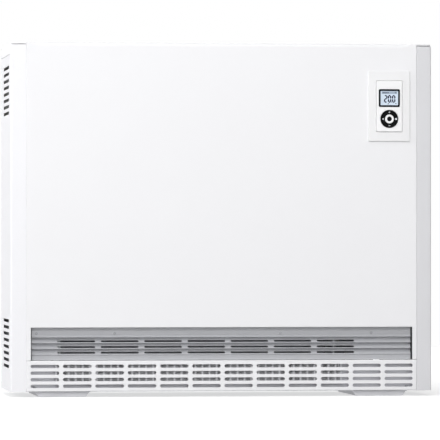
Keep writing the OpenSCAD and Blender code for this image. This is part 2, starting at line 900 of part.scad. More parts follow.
// One switch under the button and four under the ring
module micro_switches() {
    color("#3A3C40") {
        rod_y([control_x, board_front - switch_h, ring_z], switch_h, 1.6);
        for (a = [0 : 90 : 270])
            translate([control_x, 0, ring_z])
                rotate([0, a, 0])
                    block([switch_r - 1.8, board_front - switch_h, -1.8],
                          [switch_r + 1.8, board_front, 1.8]);
    }
}

module control_board() {
    color("#2E6B45")
        block([control_x - module_w / 2 + 2, board_front, control_z - module_h / 2 + 2],
              [control_x + module_w / 2 - 2, board_front + board_t, control_z + module_h / 2 - 2]);
    // parts soldered to its back, which rest on the module's rear wall
    color("#2B2D31")
        for (p = [[-12, -30], [10, -30], [-12, 0], [10, 8], [-10, 30]])
            block([control_x + p[0] - 4, board_front + board_t, control_z + p[1] - 5],
                  [control_x + p[0] + 4, module_back - module_wall, control_z + p[1] + 5]);
}

// ---- inside the casing -----------------------------------------------------------------

module inner_cover() {
    color(galvanised)
        block([left_x0 - 4, inner_y, outlet_top - 5], [wall_x, inner_y + 1, jacket_top + 6]);
}

// Upright wall between the store and the switch compartment
module partition_wall() {
    color(galvanised)
        difference() {
            block([wall_x, inner_y, tray_z], [hang_x, partition_y1, jacket_top + 6]);
            for (row = element_rows, y = [leg_y0, leg_y1])
                rod_x([wall_x - lap, y, element_z(row)], 4, element_r + 3.2);
            rod_x([wall_x - lap, fan_y, fan_z], 4, motor_r + 1);
        }
}

module cradle_plate() {
    color(galvanised)
        difference() {
            block([left_x0, front_board_y, cradle_z], [right_x1, rear_y1, board_z]);
            block([core_x + 6, core_y - channel_w, cradle_z - lap], [core_x1 - 6, core_y, board_z + lap]);
            block([core_x + 6, core_y1, cradle_z - lap], [core_x1 - 6, rear_y0, board_z + lap]);
        }
}

module cradle_support(x, hole_r) {
    color(galvanised)
        difference() {
            block([x, duct_y, tray_z], [x + cradle_t, rear_y1, cradle_z]);
            rod_x([x - lap, fan_y, fan_z], cradle_t + 2 * lap, hole_r);
            rod_x([x - lap, flap_y, flap_z], cradle_t + 2 * lap, flap_bush_r);
        }
}

module cradle_support_left() {
    cradle_support(support_l, fan_bush_r);
}

module cradle_support_right() {
    cradle_support(support_r, shaft_r + 2);
}

module base_board() {
    color(board_fill)
        difference() {
            block([left_x0, front_board_y, board_z], [right_x1, rear_y1, stack_z]);
            block([core_x + 6, core_y - channel_w, board_z - lap], [core_x1 - 6, core_y, stack_z + lap]);
            block([core_x + 6, core_y1, board_z - lap], [core_x1 - 6, rear_y0, stack_z + lap]);
        }
}

module front_board() {
    color(board_fill)
        block([left_x0, front_board_y, stack_z], [right_x1, core_y - channel_w, jacket_top]);
}

module rear_board() {
    color(board_fill)
        block([left_x0, rear_y0, stack_z], [right_x1, rear_y1, jacket_top]);
}

module left_board() {
    color(board_fill)
        block([left_x0, core_y - channel_w, stack_z], [core_x - board_gap, rear_y0, jacket_top]);
}

module right_board() {
    color(board_fill)
        difference() {
            block([core_x1 + board_gap, core_y - channel_w, stack_z], [right_x1, rear_y0, jacket_top]);
            for (row = element_rows, y = [leg_y0, leg_y1])
                rod_x([core_x1, y, element_z(row)], end_board_t + 8, element_r + 0.3);
        }
}

module top_board() {
    color(board_fill)
        block([core_x - board_gap, core_y - channel_w, stack_top + board_gap],
              [core_x1 + board_gap, rear_y0, jacket_top]);
}

// The bent groove of one element, or with a smaller radius its tube
module hairpin(r, z, x_end) {
    for (y = [leg_y0, leg_y1])
        rod_x([bend_x, y, z], x_end - bend_x, r);
    translate([bend_x, leg_mid, z])
        rotate([0, 0, 90])
            rotate_extrude(angle = 180)
                translate([bend_r, 0]) circle(r = r);
}

module storage_bricks() {
    color("#5A4A42")
        for (layer = [0 : brick_layers - 1], col = [0, 1])
            difference() {
                block([core_x + col * brick_w, core_y, stack_z + layer * brick_h],
                      [core_x + (col + 1) * brick_w - brick_joint, core_y1,
                       stack_z + (layer + 1) * brick_h - brick_joint]);
                for (row = element_rows)
                    if (row == layer || row == layer + 1)
                        hairpin(groove_r, element_z(row), core_x1 + lap);
            }
}

// The tube lies on the floor of its groove and ends in two ceramic bushes
module heating_element(row) {
    z = element_z(row);
    x_end = pin_x1 - 8;
    color("#6E7074")
        hairpin(element_r, z, x_end);
    color("#E9E4D8")
        for (y = [leg_y0, leg_y1])
            difference() {
                union() {
                    rod_x([wall_x - 1, y, z], bush_len + 1, element_r + 3);
                    rod_x([hang_x, y, z], bush_len - sheet_t, element_r + 4.6);
                }
                rod_x([wall_x - 2, y, z], bush_len + 5, element_r - 0.5);
            }
    color("#C9A24A")
        for (y = [leg_y0, leg_y1])
            rod_x([x_end - eps, y, z], 8, 1.6);
}

module heating_element_low() {
    heating_element(element_rows[0]);
}

module heating_element_mid() {
    heating_element(element_rows[1]);
}

module heating_element_high() {
    heating_element(element_rows[2]);
}

// ---- air path --------------------------------------------------------------------------

module mixing_floor() {
    color(galvanised)
        block([support_l + cradle_t, duct_y, mix_floor_z - 1], [support_r, mix_back_y, mix_floor_z]);
}

module mixing_back() {
    color(galvanised)
        block([support_l + cradle_t, mix_back_y, mix_floor_z - 1], [support_r, mix_back_y + 1, cradle_z]);
}

// Flap under the store's warm air slot, on a shaft across the mixing chamber
module mixing_flap() {
    color("#A7A9AD") {
        rod_x([support_l + cradle_t + 0.6, flap_y, flap_z],
              support_r - support_l - cradle_t - 1.2, flap_pin_r + 1);
        block([support_l + cradle_t + 3, flap_y - flap_len, flap_z - 0.6],
              [support_r - 3, flap_y, flap_z + 0.6]);
        rod_x([support_l - 2, flap_y, flap_z], cradle_t + 3, flap_pin_r);
        rod_x([support_r - 1, flap_y, flap_z], cradle_t + 9, flap_pin_r);
    }
}

// Bushes in the supports' holes, the left one with a collar
module flap_bearing() {
    collar = 1.5;
    color("#D8C98F") {
        difference() {
            union() {
                rod_x([support_l - collar, flap_y, flap_z], cradle_t + collar, flap_bush_r - 0.02);
                rod_x([support_l - collar, flap_y, flap_z], collar, flap_bush_r + 1.5);
            }
            rod_x([support_l - 4, flap_y, flap_z], 12, flap_pin_r + run_gap);
        }
        difference() {
            rod_x([support_r, flap_y, flap_z], cradle_t, flap_bush_r - 0.02);
            rod_x([support_r - 4, flap_y, flap_z], 12, flap_pin_r + run_gap);
        }
    }
}

// Gear motor on the right support, round the end of the flap's shaft
module flap_actuator() {
    x0 = support_r + cradle_t;
    color("#E2DFD2")
        difference() {
            union() {
                block([x0, flap_y - 18, flap_z - 22], [x0 + 16, flap_y + 18, flap_z + 8]);
                rod_x([x0 + 16 - eps, flap_y, flap_z - 8], 8, 12);
            }
            rod_x([x0 - lap, flap_y, flap_z], 11, flap_pin_r + run_gap);
        }
}

// Points on a spiral round the rotor: angle 0 is straight down, growing towards the back
function scroll_points(gap, from, to, steps) = [
    for (i = [0 : steps])
        let (a = from + (to - from) * i / steps,
             r = rotor_r + scroll_gap + (rear_y0 - fan_y - rotor_r - scroll_gap) * max(0, a) / 90 + gap)
            [fan_y + r * sin(a), fan_z - r * cos(a)]
];

// Spiral wall from the air inlet under the rotor up to the store's rear slot
module fan_scroll() {
    inner = scroll_points(0, -20, 90, 14);
    outer = scroll_points(1, -20, 90, 14);
    color(galvanised) {
        along_x(support_l + cradle_t + 0.2, support_r - 0.2)
            polygon(concat(inner, [[rear_y0, cradle_z], [rear_y0 + 1, cradle_z]],
                           [for (i = [len(outer) - 1 : -1 : 0]) outer[i]]));
        // feet on the base tray
        for (x = [support_l + 30, support_r - 60])
            block([x, fan_y - 6, tray_z], [x + 30, fan_y + 6, fan_z - rotor_r - scroll_gap - 0.6]);
    }
}

module fan_tongue() {
    color(galvanised)
        along_x(support_l + cradle_t + 0.2, support_r - 0.2)
            bent_sheet([[mix_back_y + 1, tongue_z], [tongue_y, tongue_z], [tongue_y, cradle_z]], 2, 1, 4);
}

// Drum of blades between discs, with its shaft
module fan_rotor() {
    length = rotor_x1 - rotor_x0;
    discs = 5;
    blade_len = 9;
    color("#8E9196") {
        for (i = [0 : discs - 1])
            rod_x([rotor_x0 + i * (length - 1.2) / (discs - 1), fan_y, fan_z], 1.2, rotor_r);
        translate([rotor_x0, fan_y, fan_z])
            rotate([90, 0, 90])
                linear_extrude(length)
                    for (i = [0 : blade_count - 1])
                        rotate(i * 360 / blade_count)
                            translate([rotor_r - 5.2, 0])
                                rotate(38)
                                    square([blade_len, 0.8], center = true);
        rod_x([support_l - 6, fan_y, fan_z], motor_x0 + motor_len + 7 - support_l, shaft_r);
    }
}

// Rubber-mounted bush in the left support
module fan_bearing() {
    color("#2A2A2C")
        difference() {
            union() {
                rod_x([support_l - 3, fan_y, fan_z], cradle_t + 5, fan_bush_r - 0.02);
                rod_x([support_l - 5, fan_y, fan_z], 5, fan_bush_r + 2);
            }
            rod_x([support_l - 8, fan_y, fan_z], 20, shaft_r + run_gap);
        }
}

module fan_motor() {
    color("#4A4D52")
        difference() {
            union() {
                rod_x([motor_x0, fan_y, fan_z], motor_len, motor_r);
                rod_x([motor_x0 + motor_len - eps, fan_y, fan_z], 6, 9);
                block([motor_x0, fan_y - 30, fan_z - 6], [motor_x0 + 2, fan_y + 30, fan_z + 6]);
            }
            rod_x([motor_x0 - lap, fan_y, fan_z], motor_len + 12, shaft_r + run_gap);
        }
}

// ---- switch compartment ----------------------------------------------------------------

module charge_controller() {
    standoff = 6;
    depth = 120;
    color("#2E6B45")
        block([hang_x + standoff, board_y0, board_z0],
              [hang_x + standoff + board_t, board_y0 + depth, board_z1]);
    color("#C4C5C8")
        for (y = [board_y0 + 8, board_y0 + depth - 8], z = [board_z0 + 8, board_z1 - 8])
            rod_x([hang_x, y, z], standoff + eps, 3);
    // tall parts: distance from the board's corner along y and z, and height
    color("#2B2D31")
        for (p = [[20, 22, 22], [84, 20, 18], [98, 60, 26], [22, 62, 14]])
            block([hang_x + standoff + board_t - eps, board_y0 + p[0] - 12, board_z0 + p[1] - 11],
                  [hang_x + standoff + board_t + p[2], board_y0 + p[0] + 12, board_z0 + p[1] + 11]);
}

module heater_relay() {
    depth = 56;
    h = 57;
    color("#D9D6CB") {
        block([hang_x, relay_y, relay_z], [hang_x + 48, relay_y + depth, relay_z + h]);
        block([hang_x + 48 - eps, relay_y + 8, relay_z + 9],
              [hang_x + 56, relay_y + depth - 8, relay_z + h - 9]);
    }
}

module terminal_block() {
    poles = 7;
    pole_pitch = 15;
    h = 28;
    color("#E6E2D6")
        difference() {
            block([hang_x, terminal_y, terminal_z],
                  [hang_x + terminal_depth, terminal_y + poles * pole_pitch + 5, terminal_z + h]);
            for (i = [0 : poles - 1])
                rod_x([hang_x + 10, terminal_y + 10 + i * pole_pitch, terminal_z + h / 2], 20, 4);
        }
}

// Overheat switch with its reset button
module safety_limiter() {
    color("#3A3C40") {
        block([hang_x, limiter_y, limiter_z], [hang_x + 32, limiter_y + 38, limiter_z + 40]);
        rod_x([hang_x + 32 - eps, limiter_y + 19, limiter_z + 20], 10, 6);
    }
}

// Leads tied together: a trunk from the terminal block, and a branch to each element's legs
module wiring_loom() {
    foot_z = terminal_z + 20;
    color("#303236") {
        rod_z([trunk_x, trunk_y, foot_z], element_z(last(element_rows)) - foot_z + 6, 4);
        rod_x([hang_x + terminal_depth, trunk_y, foot_z + 6],
              trunk_x - hang_x - terminal_depth, 3);
        for (row = element_rows) {
            rod_y([trunk_x, leg_y0 - 3.5, element_z(row)], trunk_y - leg_y0 + 3.5, 2.6);
            for (leg = [leg_y0, leg_y1])
                rod_x([pin_x1, leg, element_z(row)], trunk_x - pin_x1, 2);
        }
    }
}

// ---- back ------------------------------------------------------------------------------

// Grommet in the rear panel: a flange on each side and a bore for the mains cable
module cable_gland() {
    y0 = back_in - sheet_t - gland_in;
    color("#26272A")
        difference() {
            union() {
                rod_y([gland_x, y0, gland_z], gland_in + sheet_t + gland_out, gland_body_r);
                rod_y([gland_x, y0 + gland_in - 4, gland_z], 4, gland_body_r + 3);
                rod_y([gland_x, back_in, gland_z], 3, gland_body_r + 3);
            }
            rod_y([gland_x, y0 - lap, gland_z], gland_in + gland_out + 6, gland_bore_r);
        }
}

// Z-shaped rail on the rear panel: its upper flange lies against the wall
module wall_bracket() {
    color(galvanised)
        difference() {
            union() {
                block([-bracket_w / 2, back_in, bracket_z - bracket_down],
                      [bracket_w / 2, back_in + bracket_t, bracket_z]);
                block([-bracket_w / 2, back_in, bracket_z - bracket_t],
                      [bracket_w / 2, wall_y, bracket_z]);
                block([-bracket_w / 2, wall_y - bracket_t, bracket_z - bracket_t],
                      [bracket_w / 2, wall_y, bracket_z + bracket_up]);
            }
            for (s = [-1, 1])
                rod_y([s * bracket_hole_pitch / 2, wall_y - bracket_t - lap, bracket_z + bracket_hole_up],
                      bracket_t + 2 * lap, bracket_hole_r);
        }
}

// Lower wall spacers, and the screws that hold the bracket and the rear panel
module back_fittings() {
    color("#3A3C40")
        for (x = [-spacer_x, spacer_x])
            rod_y([x, back_in, spacer_z], wall_y - back_in, 12);
    color("#C4C5C8") {
        for (x = [-bracket_w / 2 + 60, 0, bracket_w / 2 - 60])
            rod_y([x, back_in + bracket_t, bracket_z - 16], 2.4, 4);
        for (s = [-1, 1], z = [body_z + 50 : 180 : seam_z - 20])
            rod_y([s * (half_w - side_flange / 2), case_d, z], 2.2, 3.6);
    }
}

// ---- drawing ---------------------------------------------------------------------------

placed() front_panel();
placed() side_panel_left();
placed() side_panel_right();
placed() top_cover();
placed() rear_panel();
placed() base_tray();
placed() foot_rail_left();
placed() foot_rail_right();
placed() outlet_grille();
placed() grille_screws();
placed() grille_rail();
placed() inlet_grille();
placed() grille_hinges();
placed() grille_catches();
placed() lint_filter();
placed() inlet_plate();
placed() control_fascia();
placed() control_module();
placed() display_frame();
placed() display_screen();
placed() ring_key();
placed() centre_button();
placed() button_cap();
placed() key_gimbal();
placed() key_carrier();
placed() micro_switches();
placed() control_board();
placed() inner_cover();
placed() partition_wall();
placed() cradle_plate();
placed() cradle_support_left();
placed() cradle_support_right();
placed() base_board();
placed() front_board();
placed() rear_board();
placed() left_board();
placed() right_board();
placed() top_board();
placed() storage_bricks();
placed() heating_element_low();
placed() heating_element_mid();
placed() heating_element_high();
placed() mixing_floor();
placed() mixing_back();
placed() mixing_flap();
placed() flap_bearing();
placed() flap_actuator();
placed() fan_scroll();
placed() fan_tongue();
placed() fan_rotor();
placed() fan_bearing();
placed() fan_motor();
placed() charge_controller();
placed() heater_relay();
placed() terminal_block();
placed() safety_limiter();
placed() wiring_loom();
placed() cable_gland();
placed() wall_bracket();
placed() back_fittings();
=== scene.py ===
# %% [markdown]
# # A storage heater in a white sheet casing
# The imported model is the skeleton of this scene: it says where every panel, grille and
# button is, and which body each one moves with. It is loaded first and never moved. The
# steps after it dress that skeleton: some parts only get a better finish, and the parts
# that the eye rests on are made again with bends, rims and punched slots.

# %% Load the frame
import json
import math

import bmesh
import bpy
import numpy as np
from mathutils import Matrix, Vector


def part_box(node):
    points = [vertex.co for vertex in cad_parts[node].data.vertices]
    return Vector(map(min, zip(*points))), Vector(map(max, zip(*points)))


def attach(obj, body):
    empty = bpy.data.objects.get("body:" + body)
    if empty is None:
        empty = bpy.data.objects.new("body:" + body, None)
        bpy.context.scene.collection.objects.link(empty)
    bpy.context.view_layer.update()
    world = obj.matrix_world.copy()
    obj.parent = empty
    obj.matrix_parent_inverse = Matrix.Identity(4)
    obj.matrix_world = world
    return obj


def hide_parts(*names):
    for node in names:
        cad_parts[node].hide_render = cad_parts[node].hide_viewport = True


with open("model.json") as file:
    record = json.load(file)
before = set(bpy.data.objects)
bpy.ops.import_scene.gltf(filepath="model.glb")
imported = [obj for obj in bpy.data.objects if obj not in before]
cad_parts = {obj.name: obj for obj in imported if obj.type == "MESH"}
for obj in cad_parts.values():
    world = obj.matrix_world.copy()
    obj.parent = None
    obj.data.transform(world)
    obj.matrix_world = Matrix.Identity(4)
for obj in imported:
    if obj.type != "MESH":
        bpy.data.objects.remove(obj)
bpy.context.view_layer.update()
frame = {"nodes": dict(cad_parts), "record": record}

# %% [markdown]
# ## Millimetres, and a depth that starts at the front
# Sheet-metal drawings count depth from the visible front. The same is done here: a point is
# (x, depth, z) in millimetres, with depth 0 on the front panel's face and growing towards
# the wall. One function turns such points into the frame's metres at the very end.

# %% Sizes read from the frame
MM = 0.001
FRONT_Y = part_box("front_panel")[0].y


def corners(node):
    """Lowest and highest corner of a node in millimetres: (metres - front face) * 1000."""
    low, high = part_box(node)
    origin = np.array([0, FRONT_Y, 0])
    return (np.array(low) - origin) / MM, (np.array(high) - origin) / MM


def centre(node):
    """The middle of a node's box in millimetres: half the sum of its two corners."""
    return np.mean(corners(node), axis=0)


panel_low, panel_high = corners("front_panel")
side_low, side_high = corners("side_panel_right")
print("front panel", panel_low.round(2), panel_high.round(2))
print("right side", side_low.round(2), side_high.round(2))

# %% [markdown]
# ## From arrays to a mesh
# Every new piece is one or more surfaces worked out as whole arrays. A surface is a grid of
# points, and its quads join each row of points to the next. Pieces are welded where two
# surfaces share an edge, so that a wall thickness can be added to them as one sheet.

# %% Grids, joining and welding
def grid_quads(rows, cols, closed=False):
    """Quads between neighbouring rows: point (r, c) is number r * cols + c."""
    r = np.arange(rows - 1)[:, None]
    c = np.arange(cols if closed else cols - 1)[None, :]
    n = (c + 1) % cols
    quads = np.stack([r * cols + c, r * cols + n, (r + 1) * cols + n, (r + 1) * cols + c], -1)
    return quads.reshape(-1, 4)


def surface(points, closed=False):
    """A grid of points (rows, cols, 3) as a list of points and a list of quads."""
    rows, cols = points.shape[:2]
    return points.reshape(-1, 3), grid_quads(rows, cols, closed).tolist()


def capped(points):
    """Closed rings (rows, cols, 3) with a flat face on the first and the last ring."""
    rows, cols = points.shape[:2]
    flat, faces = surface(points, closed=True)
    return flat, faces + [list(range(cols))[::-1], list(range((rows - 1) * cols, rows * cols))]


def columns(*parts):
    """Coordinates side by side as points; a part can be an array or one number for all."""
    return np.stack(np.broadcast_arrays(*parts), -1)


def standing(outline, depth):
    """Points (x, z) of a flat outline as (x, depth, z)."""
    return columns(outline[:, 0], depth, outline[:, 1])


def join(shapes):
    """Several shapes as one: each one's numbers grow by the points before it."""
    points, faces, start = [], [], 0
    for part_points, part_faces in shapes:
        points.append(part_points)
        faces += [[number + start for number in face] for face in part_faces]
        start += len(part_points)
    return np.concatenate(points), faces


def weld(bm, facing):
    """Merges doubles and turns all faces outwards, or an open sheet towards `facing`."""
    bmesh.ops.remove_doubles(bm, verts=bm.verts, dist=2e-6)
    bmesh.ops.dissolve_degenerate(bm, dist=1e-7, edges=bm.edges)
    bmesh.ops.recalc_face_normals(bm, faces=bm.faces)
    if facing is not None:
        total = sum((f.normal * f.calc_area() for f in bm.faces), Vector())
        if total.dot(Vector(facing)) < 0:
            bmesh.ops.reverse_faces(bm, faces=bm.faces)


print("quads between two rings of three points:", grid_quads(2, 3, closed=True).tolist())

# %% [markdown]
# A piece is finished with the modifiers that a sheet-metal shop would understand: Solidify
# is the gauge of the sheet, and Bevel is the deburred or lacquered edge. Weighted normals
# keep the large faces flat and let only the narrow edge faces catch the light.

# %% Make one piece
NODE_SLOT = {row["node"]: row["material_slot"] for row in frame["record"]["subparts"]}
BEVEL_FROM = math.radians(35)


def piece(name, shapes, material, body="root", instead=(), slot=None,
          gauge=0, edge=0, facing=None):
    """Puts shapes in millimetres into one object and says what it rides on and replaces. A slot is
    worked out from the node it replaces unless another is given, but nothing uses it."""
    points, faces = join(shapes)
    mesh = bpy.data.meshes.new(name)
    metres = (points + [0, FRONT_Y / MM, 0]) * MM
    mesh.from_pydata(metres.tolist(), [], faces)
    bm = bmesh.new()
    bm.from_mesh(mesh)
    weld(bm, facing)
    bm.to_mesh(mesh)
    bm.free()
    mesh.polygons.foreach_set("use_smooth", [True] * len(mesh.polygons))
    mesh.materials.append(material)
    obj = bpy.data.objects.new(name, mesh)
    bpy.context.scene.collection.objects.link(obj)
    if gauge:
        solid = obj.modifiers.new("gauge", "SOLIDIFY")
        solid.thickness, solid.offset, solid.use_even_offset = gauge * MM, -1, False
    if edge:
        bevel = obj.modifiers.new("edge", "BEVEL")
        bevel.width, bevel.segments = edge * MM, 2
        bevel.limit_method, bevel.angle_limit = "ANGLE", BEVEL_FROM
        bevel.use_clamp_overlap = False
    normal = obj.modifiers.new("flat faces", "WEIGHTED_NORMAL")
    normal.keep_sharp = False
    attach(obj, body)
    if instead:
        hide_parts(*instead)
        slot = slot or NODE_SLOT[instead[0]]
    print(f"{name}: {len(mesh.vertices)} points, {len(mesh.polygons)} faces")


# %% [markdown]
# ## Camera
# The photograph was taken from far away, a little left of the middle and level with the
# heater's lower half. The distance shows in how narrow the left side looks beside the front.
# The lens is long, so upright edges stay upright. The aim is moved sideways a little, which
# puts the heater where the photograph has it without shifting the lens.

# %% The photograph's viewing angle
AZIMUTH, ELEVATION, DISTANCE = math.radians(-6.9), math.radians(-0.311), 8.022
LENS_MM, SENSOR_MM = 351.06, 36.0
SIDE_STEP, RISE = 0.01148, 0.0005

middle = Vector((0, 0, 0.325))
back = Vector((math.sin(AZIMUTH) * math.cos(ELEVATION),
               -math.cos(AZIMUTH) * math.cos(ELEVATION), math.sin(ELEVATION)))
right = Vector((math.cos(AZIMUTH), math.sin(AZIMUTH), 0))
aim = middle + right * SIDE_STEP + Vector((0, 0, RISE))

camera_data = bpy.data.cameras.new("camera")
camera_data.lens, camera_data.sensor_width = LENS_MM, SENSOR_MM
camera_data.sensor_fit, camera_data.clip_end = "HORIZONTAL", 100
camera = bpy.data.objects.new("camera", camera_data)
camera.location = middle + back * DISTANCE
camera.rotation_euler = (aim - camera.location).to_track_quat("-Z", "Y").to_euler()
bpy.context.scene.collection.objects.link(camera)
bpy.context.scene.camera = camera
bpy.context.scene.view_settings.view_transform = "Standard"
print("camera at", [round(v, 3) for v in camera.location])

# %% [markdown]
# ## Colours and nodes
# Paint charts give colours as hex numbers in sRGB, while the shader works in linear light.
# One function does that conversion, and one small function adds a node: its settings are
# plain properties, and its inputs are numbers or the output of another node. Every finish
# starts from the same shader and from Object coordinates, which are real metres.

# %% Two helpers for materials
def linear(colour, gain=1.0):
    """sRGB to linear: c / 12.92 up to 0.04045, else ((c + 0.055) / 1.055) to the power 2.4."""
    c = np.array([int(colour[i:i + 2], 16) for i in (1, 3, 5)]) / 255
    lin = np.where(c <= 0.04045, c / 12.92, ((c + 0.055) / 1.055) ** 2.4) * gain
    return (*np.clip(lin, 0, 1).tolist(), 1.0)


def add(tree, kind, inputs=None, **settings):
    """Adds one shader node with its settings, values and links."""
    node = tree.nodes.new("ShaderNode" + kind)
    for name, value in settings.items():
        setattr(node, name, value)
    for key, value in (inputs or {}).items():
        if isinstance(value, bpy.types.NodeSocket):
            tree.links.new(value, node.inputs[key])
        else:
            node.inputs[key].default_value = value
    return node


def new_tree(block):
    """An empty node tree for a new material or world."""
    block.use_nodes = True
    block.node_tree.nodes.clear()
    return block.node_tree


def principled(name, **sockets):
    """A material with one Principled shader; the sockets' own values are set on it."""
    material = bpy.data.materials.new(name)
    tree = new_tree(material)
    shader = add(tree, "BsdfPrincipled", {k.replace("_", " "): v for k, v in sockets.items()})
    add(tree, "OutputMaterial", {"Surface": shader.outputs[0]})
    return material, tree, shader, add(tree, "TexCoord").outputs["Object"]


print("middle grey in linear light:", round(linear("#808080")[0], 3))

# %% [markdown]
# ## Floor, world and lamps
# The photograph is a cut-out on white. The floor is a plain pale sheet that the camera sees
# as almost white, and it keeps the heater's soft shadow: part of its white is its own glow
# for camera, mirror and glass rays only, so it throws no extra light on the heater. The
# lamps are wide soft boxes, most of them high and on the left, because the photograph's front
# gets slowly greyer from left to right and its left side is as bright as the front.

# %% A pale floor and a white world
def seen_directly(tree):
    """1 for camera, mirror and glass rays: the largest of Light Path's three switches."""
    path = add(tree, "LightPath")
    both = add(tree, "Math", {0: path.outputs["Is Camera Ray"], 1: path.outputs["Is Glossy Ray"]},
               operation="MAXIMUM")
    return add(tree, "Math", {0: both.outputs[0], 1: path.outputs["Is Transmission Ray"]},
               operation="MAXIMUM").outputs[0]


WORLD_LIGHT, FLOOR_GLOW, FLOOR_HALF = 0.2, 0.56, 3.6

world = bpy.data.worlds.new("studio")
tree = new_tree(world)
strength = add(tree, "MapRange", {"Value": seen_directly(tree), "To Min": WORLD_LIGHT,
                                  "To Max": 1.0})
shine = add(tree, "Background", {"Color": (1, 1, 1, 1), "Strength": strength.outputs[0]})
add(tree, "OutputWorld", {"Surface": shine.outputs[0]})
bpy.context.scene.world = world

floor_paint = bpy.data.materials.new("pale_studio_floor")
tree = new_tree(floor_paint)
matt = add(tree, "BsdfDiffuse", {"Color": linear("#C4C4C4")})
glow_level = add(tree, "Math", {0: seen_directly(tree), 1: FLOOR_GLOW}, operation="MULTIPLY")
glow = add(tree, "Emission", {"Color": (1, 1, 1, 1), "Strength": glow_level.outputs[0]})
both = add(tree, "AddShader", {0: matt.outputs[0], 1: glow.outputs[0]})
add(tree, "OutputMaterial", {"Surface": both.outputs[0]})

floor_mesh = bpy.data.meshes.new("studio_floor")
floor_mesh.from_pydata([(x * FLOOR_HALF, y * FLOOR_HALF, 0)
                        for x, y in ((-1, -1), (1, -1), (1, 1), (-1, 1))], [], [(0, 1, 2, 3)])
floor_mesh.materials.append(floor_paint)
floor = bpy.data.objects.new("studio_floor", floor_mesh)
bpy.context.scene.collection.objects.link(floor)
print("floor", 2 * FLOOR_HALF, "m wide, world light", WORLD_LIGHT)


# %% Five soft boxes
def soft_box(name, place, size, watts):
    """A square lamp of the given size that looks at the heater's middle."""
    data = bpy.data.lights.new(name, "AREA")
    data.shape, data.size, data.energy = "SQUARE", size, watts
    lamp = bpy.data.objects.new(name, data)
    lamp.location = place
    lamp.rotation_euler = (middle - lamp.location).to_track_quat("-Z", "Y").to_euler()
    lamp.visible_camera = False
    bpy.context.scene.collection.objects.link(lamp)
    print(f"{name}: {size} m wide, {watts} W")


for name, place, size, watts in (
        ("left_box", (-2.4, -2.8, 2.6), 2.4, 6), ("front_box", (-0.45, -3.7, 2.0), 2.6, 90),
        ("top_box", (-0.9, -2.0, 4.2), 2.0, 46), ("side_box", (-3.6, -0.3, 1.5), 2.0, 76),
        ("back_box", (0.4, 3.2, 1.6), 2.4, 58)):
    soft_box(name, Vector(place), size, watts)

# %% [markdown]
# ## Finishes
# A finish is a base colour, a gloss and a grain. Most of the heater's surfaces differ only in
# those: powder coat has a wavy skin like orange peel, moulded plastic a fine spark-eroded
# grain, rolled metal long lines. So one function lays a fine grain, which bends the normals
# and the gloss, over a broad cloud, which shifts the tone by a few per cent. Grain sizes are
# real millimetres; Object coordinates are metres, so a grain of g mm has scale 1000 / g.

# %% One function for grained finishes
def wire(tree, shader, colour, height, relief, roughness=None):
    """Links the finish to its shader: a colour, a relief in mm and perhaps a roughness."""
    bump = add(tree, "Bump", {"Height": height, "Distance": relief * MM})
    tree.links.new(colour, shader.inputs["Base Color"])
    tree.links.new(bump.outputs[0], shader.inputs["Normal"])
    if roughness:
        tree.links.new(roughness, shader.inputs["Roughness"])


def grained(name, colour, roughness, grain, relief, metallic=0.0, stretch=(1, 1, 1),
            tone=0.03, cloud=60.0, spread=0.05, specular=0.5):
    """Colour * (1 +- tone) in clouds, roughness +- spread, bump of `relief` mm per grain."""
    material, tree, shader, place = principled(name, Metallic=metallic,
                                               Specular_IOR_Level=specular)
    stretched = add(tree, "Mapping", {"Vector": place, "Scale": stretch}).outputs[0]
    fine = add(tree, "TexNoise", {"Vector": stretched, "Scale": 1000 / grain,
                                  "Detail": 3.0}).outputs["Fac"]
    broad = add(tree, "TexNoise", {"Vector": place, "Scale": 1000 / cloud,
                                   "Detail": 2.0}).outputs["Fac"]
    gloss = add(tree, "MapRange", {"Value": fine, "To Min": roughness - spread,
                                   "To Max": roughness + spread}).outputs[0]
    mixed = add(tree, "Mix", {"Factor": broad, 6: linear(colour, 1 - tone),
                              7: linear(colour, 1 + tone)}, data_type="RGBA").outputs[2]
    wire(tree, shader, mixed, fine, relief, gloss)
    return material


# Powder coat: a wavy skin, so every highlight is broad and has a soft edge. The sides are a copy
# of the same coat painted a touch darker: painted shade, so that the eye sees them set off beside
# the front.
powder_coat = grained("powder_coated_steel_white", "#F2F2F4", 0.56, 1.6, 0.012, tone=0.008,
                      cloud=180, specular=0.35)
side_coat_painted_shade = grained("powder_coated_steel_white_painted_shade", "#EAEAED", 0.56, 1.6, 0.012,
                    tone=0.008, cloud=180, specular=0.3)
print("the powder coat is made of", len(powder_coat.node_tree.nodes), "shader nodes")

# %% More finishes of the casing, the control and the inside
# Lacquered aluminium: matt silver, with faint lines along the strip from the rolls.
silver_lacquer = grained("lacquered_aluminium_silver", "#B6B7BB", 0.45, 0.5, 0.02,
                         stretch=(0.02, 1, 1), specular=0.25)
# Zinc under clear lacquer: a pale grey with a little metal in it.
foot_lacquer = grained("zinc_lacquered_steel_grey", "#DEDEE2", 0.45, 1.2, 0.02, metallic=0.4,
                       tone=0.02)
# Moulded ABS: the fascia is spark-eroded and dead matt, the module satin and a bit whiter.
moulded_white = grained("moulded_abs_white_matt", "#F0F0F1", 0.48, 0.35, 0.012, tone=0.006)
polished_white = grained("moulded_abs_white_satin", "#F7F7F8", 0.3, 0.25, 0.004, tone=0.004)
# Polycarbonate: almost black, smooth enough to mirror a lamp faintly.
display_black = grained("polished_polycarbonate_blue_black", "#0A0F1A", 0.3, 0.3, 0.001,
                        tone=0.05, spread=0.03, specular=0.1)
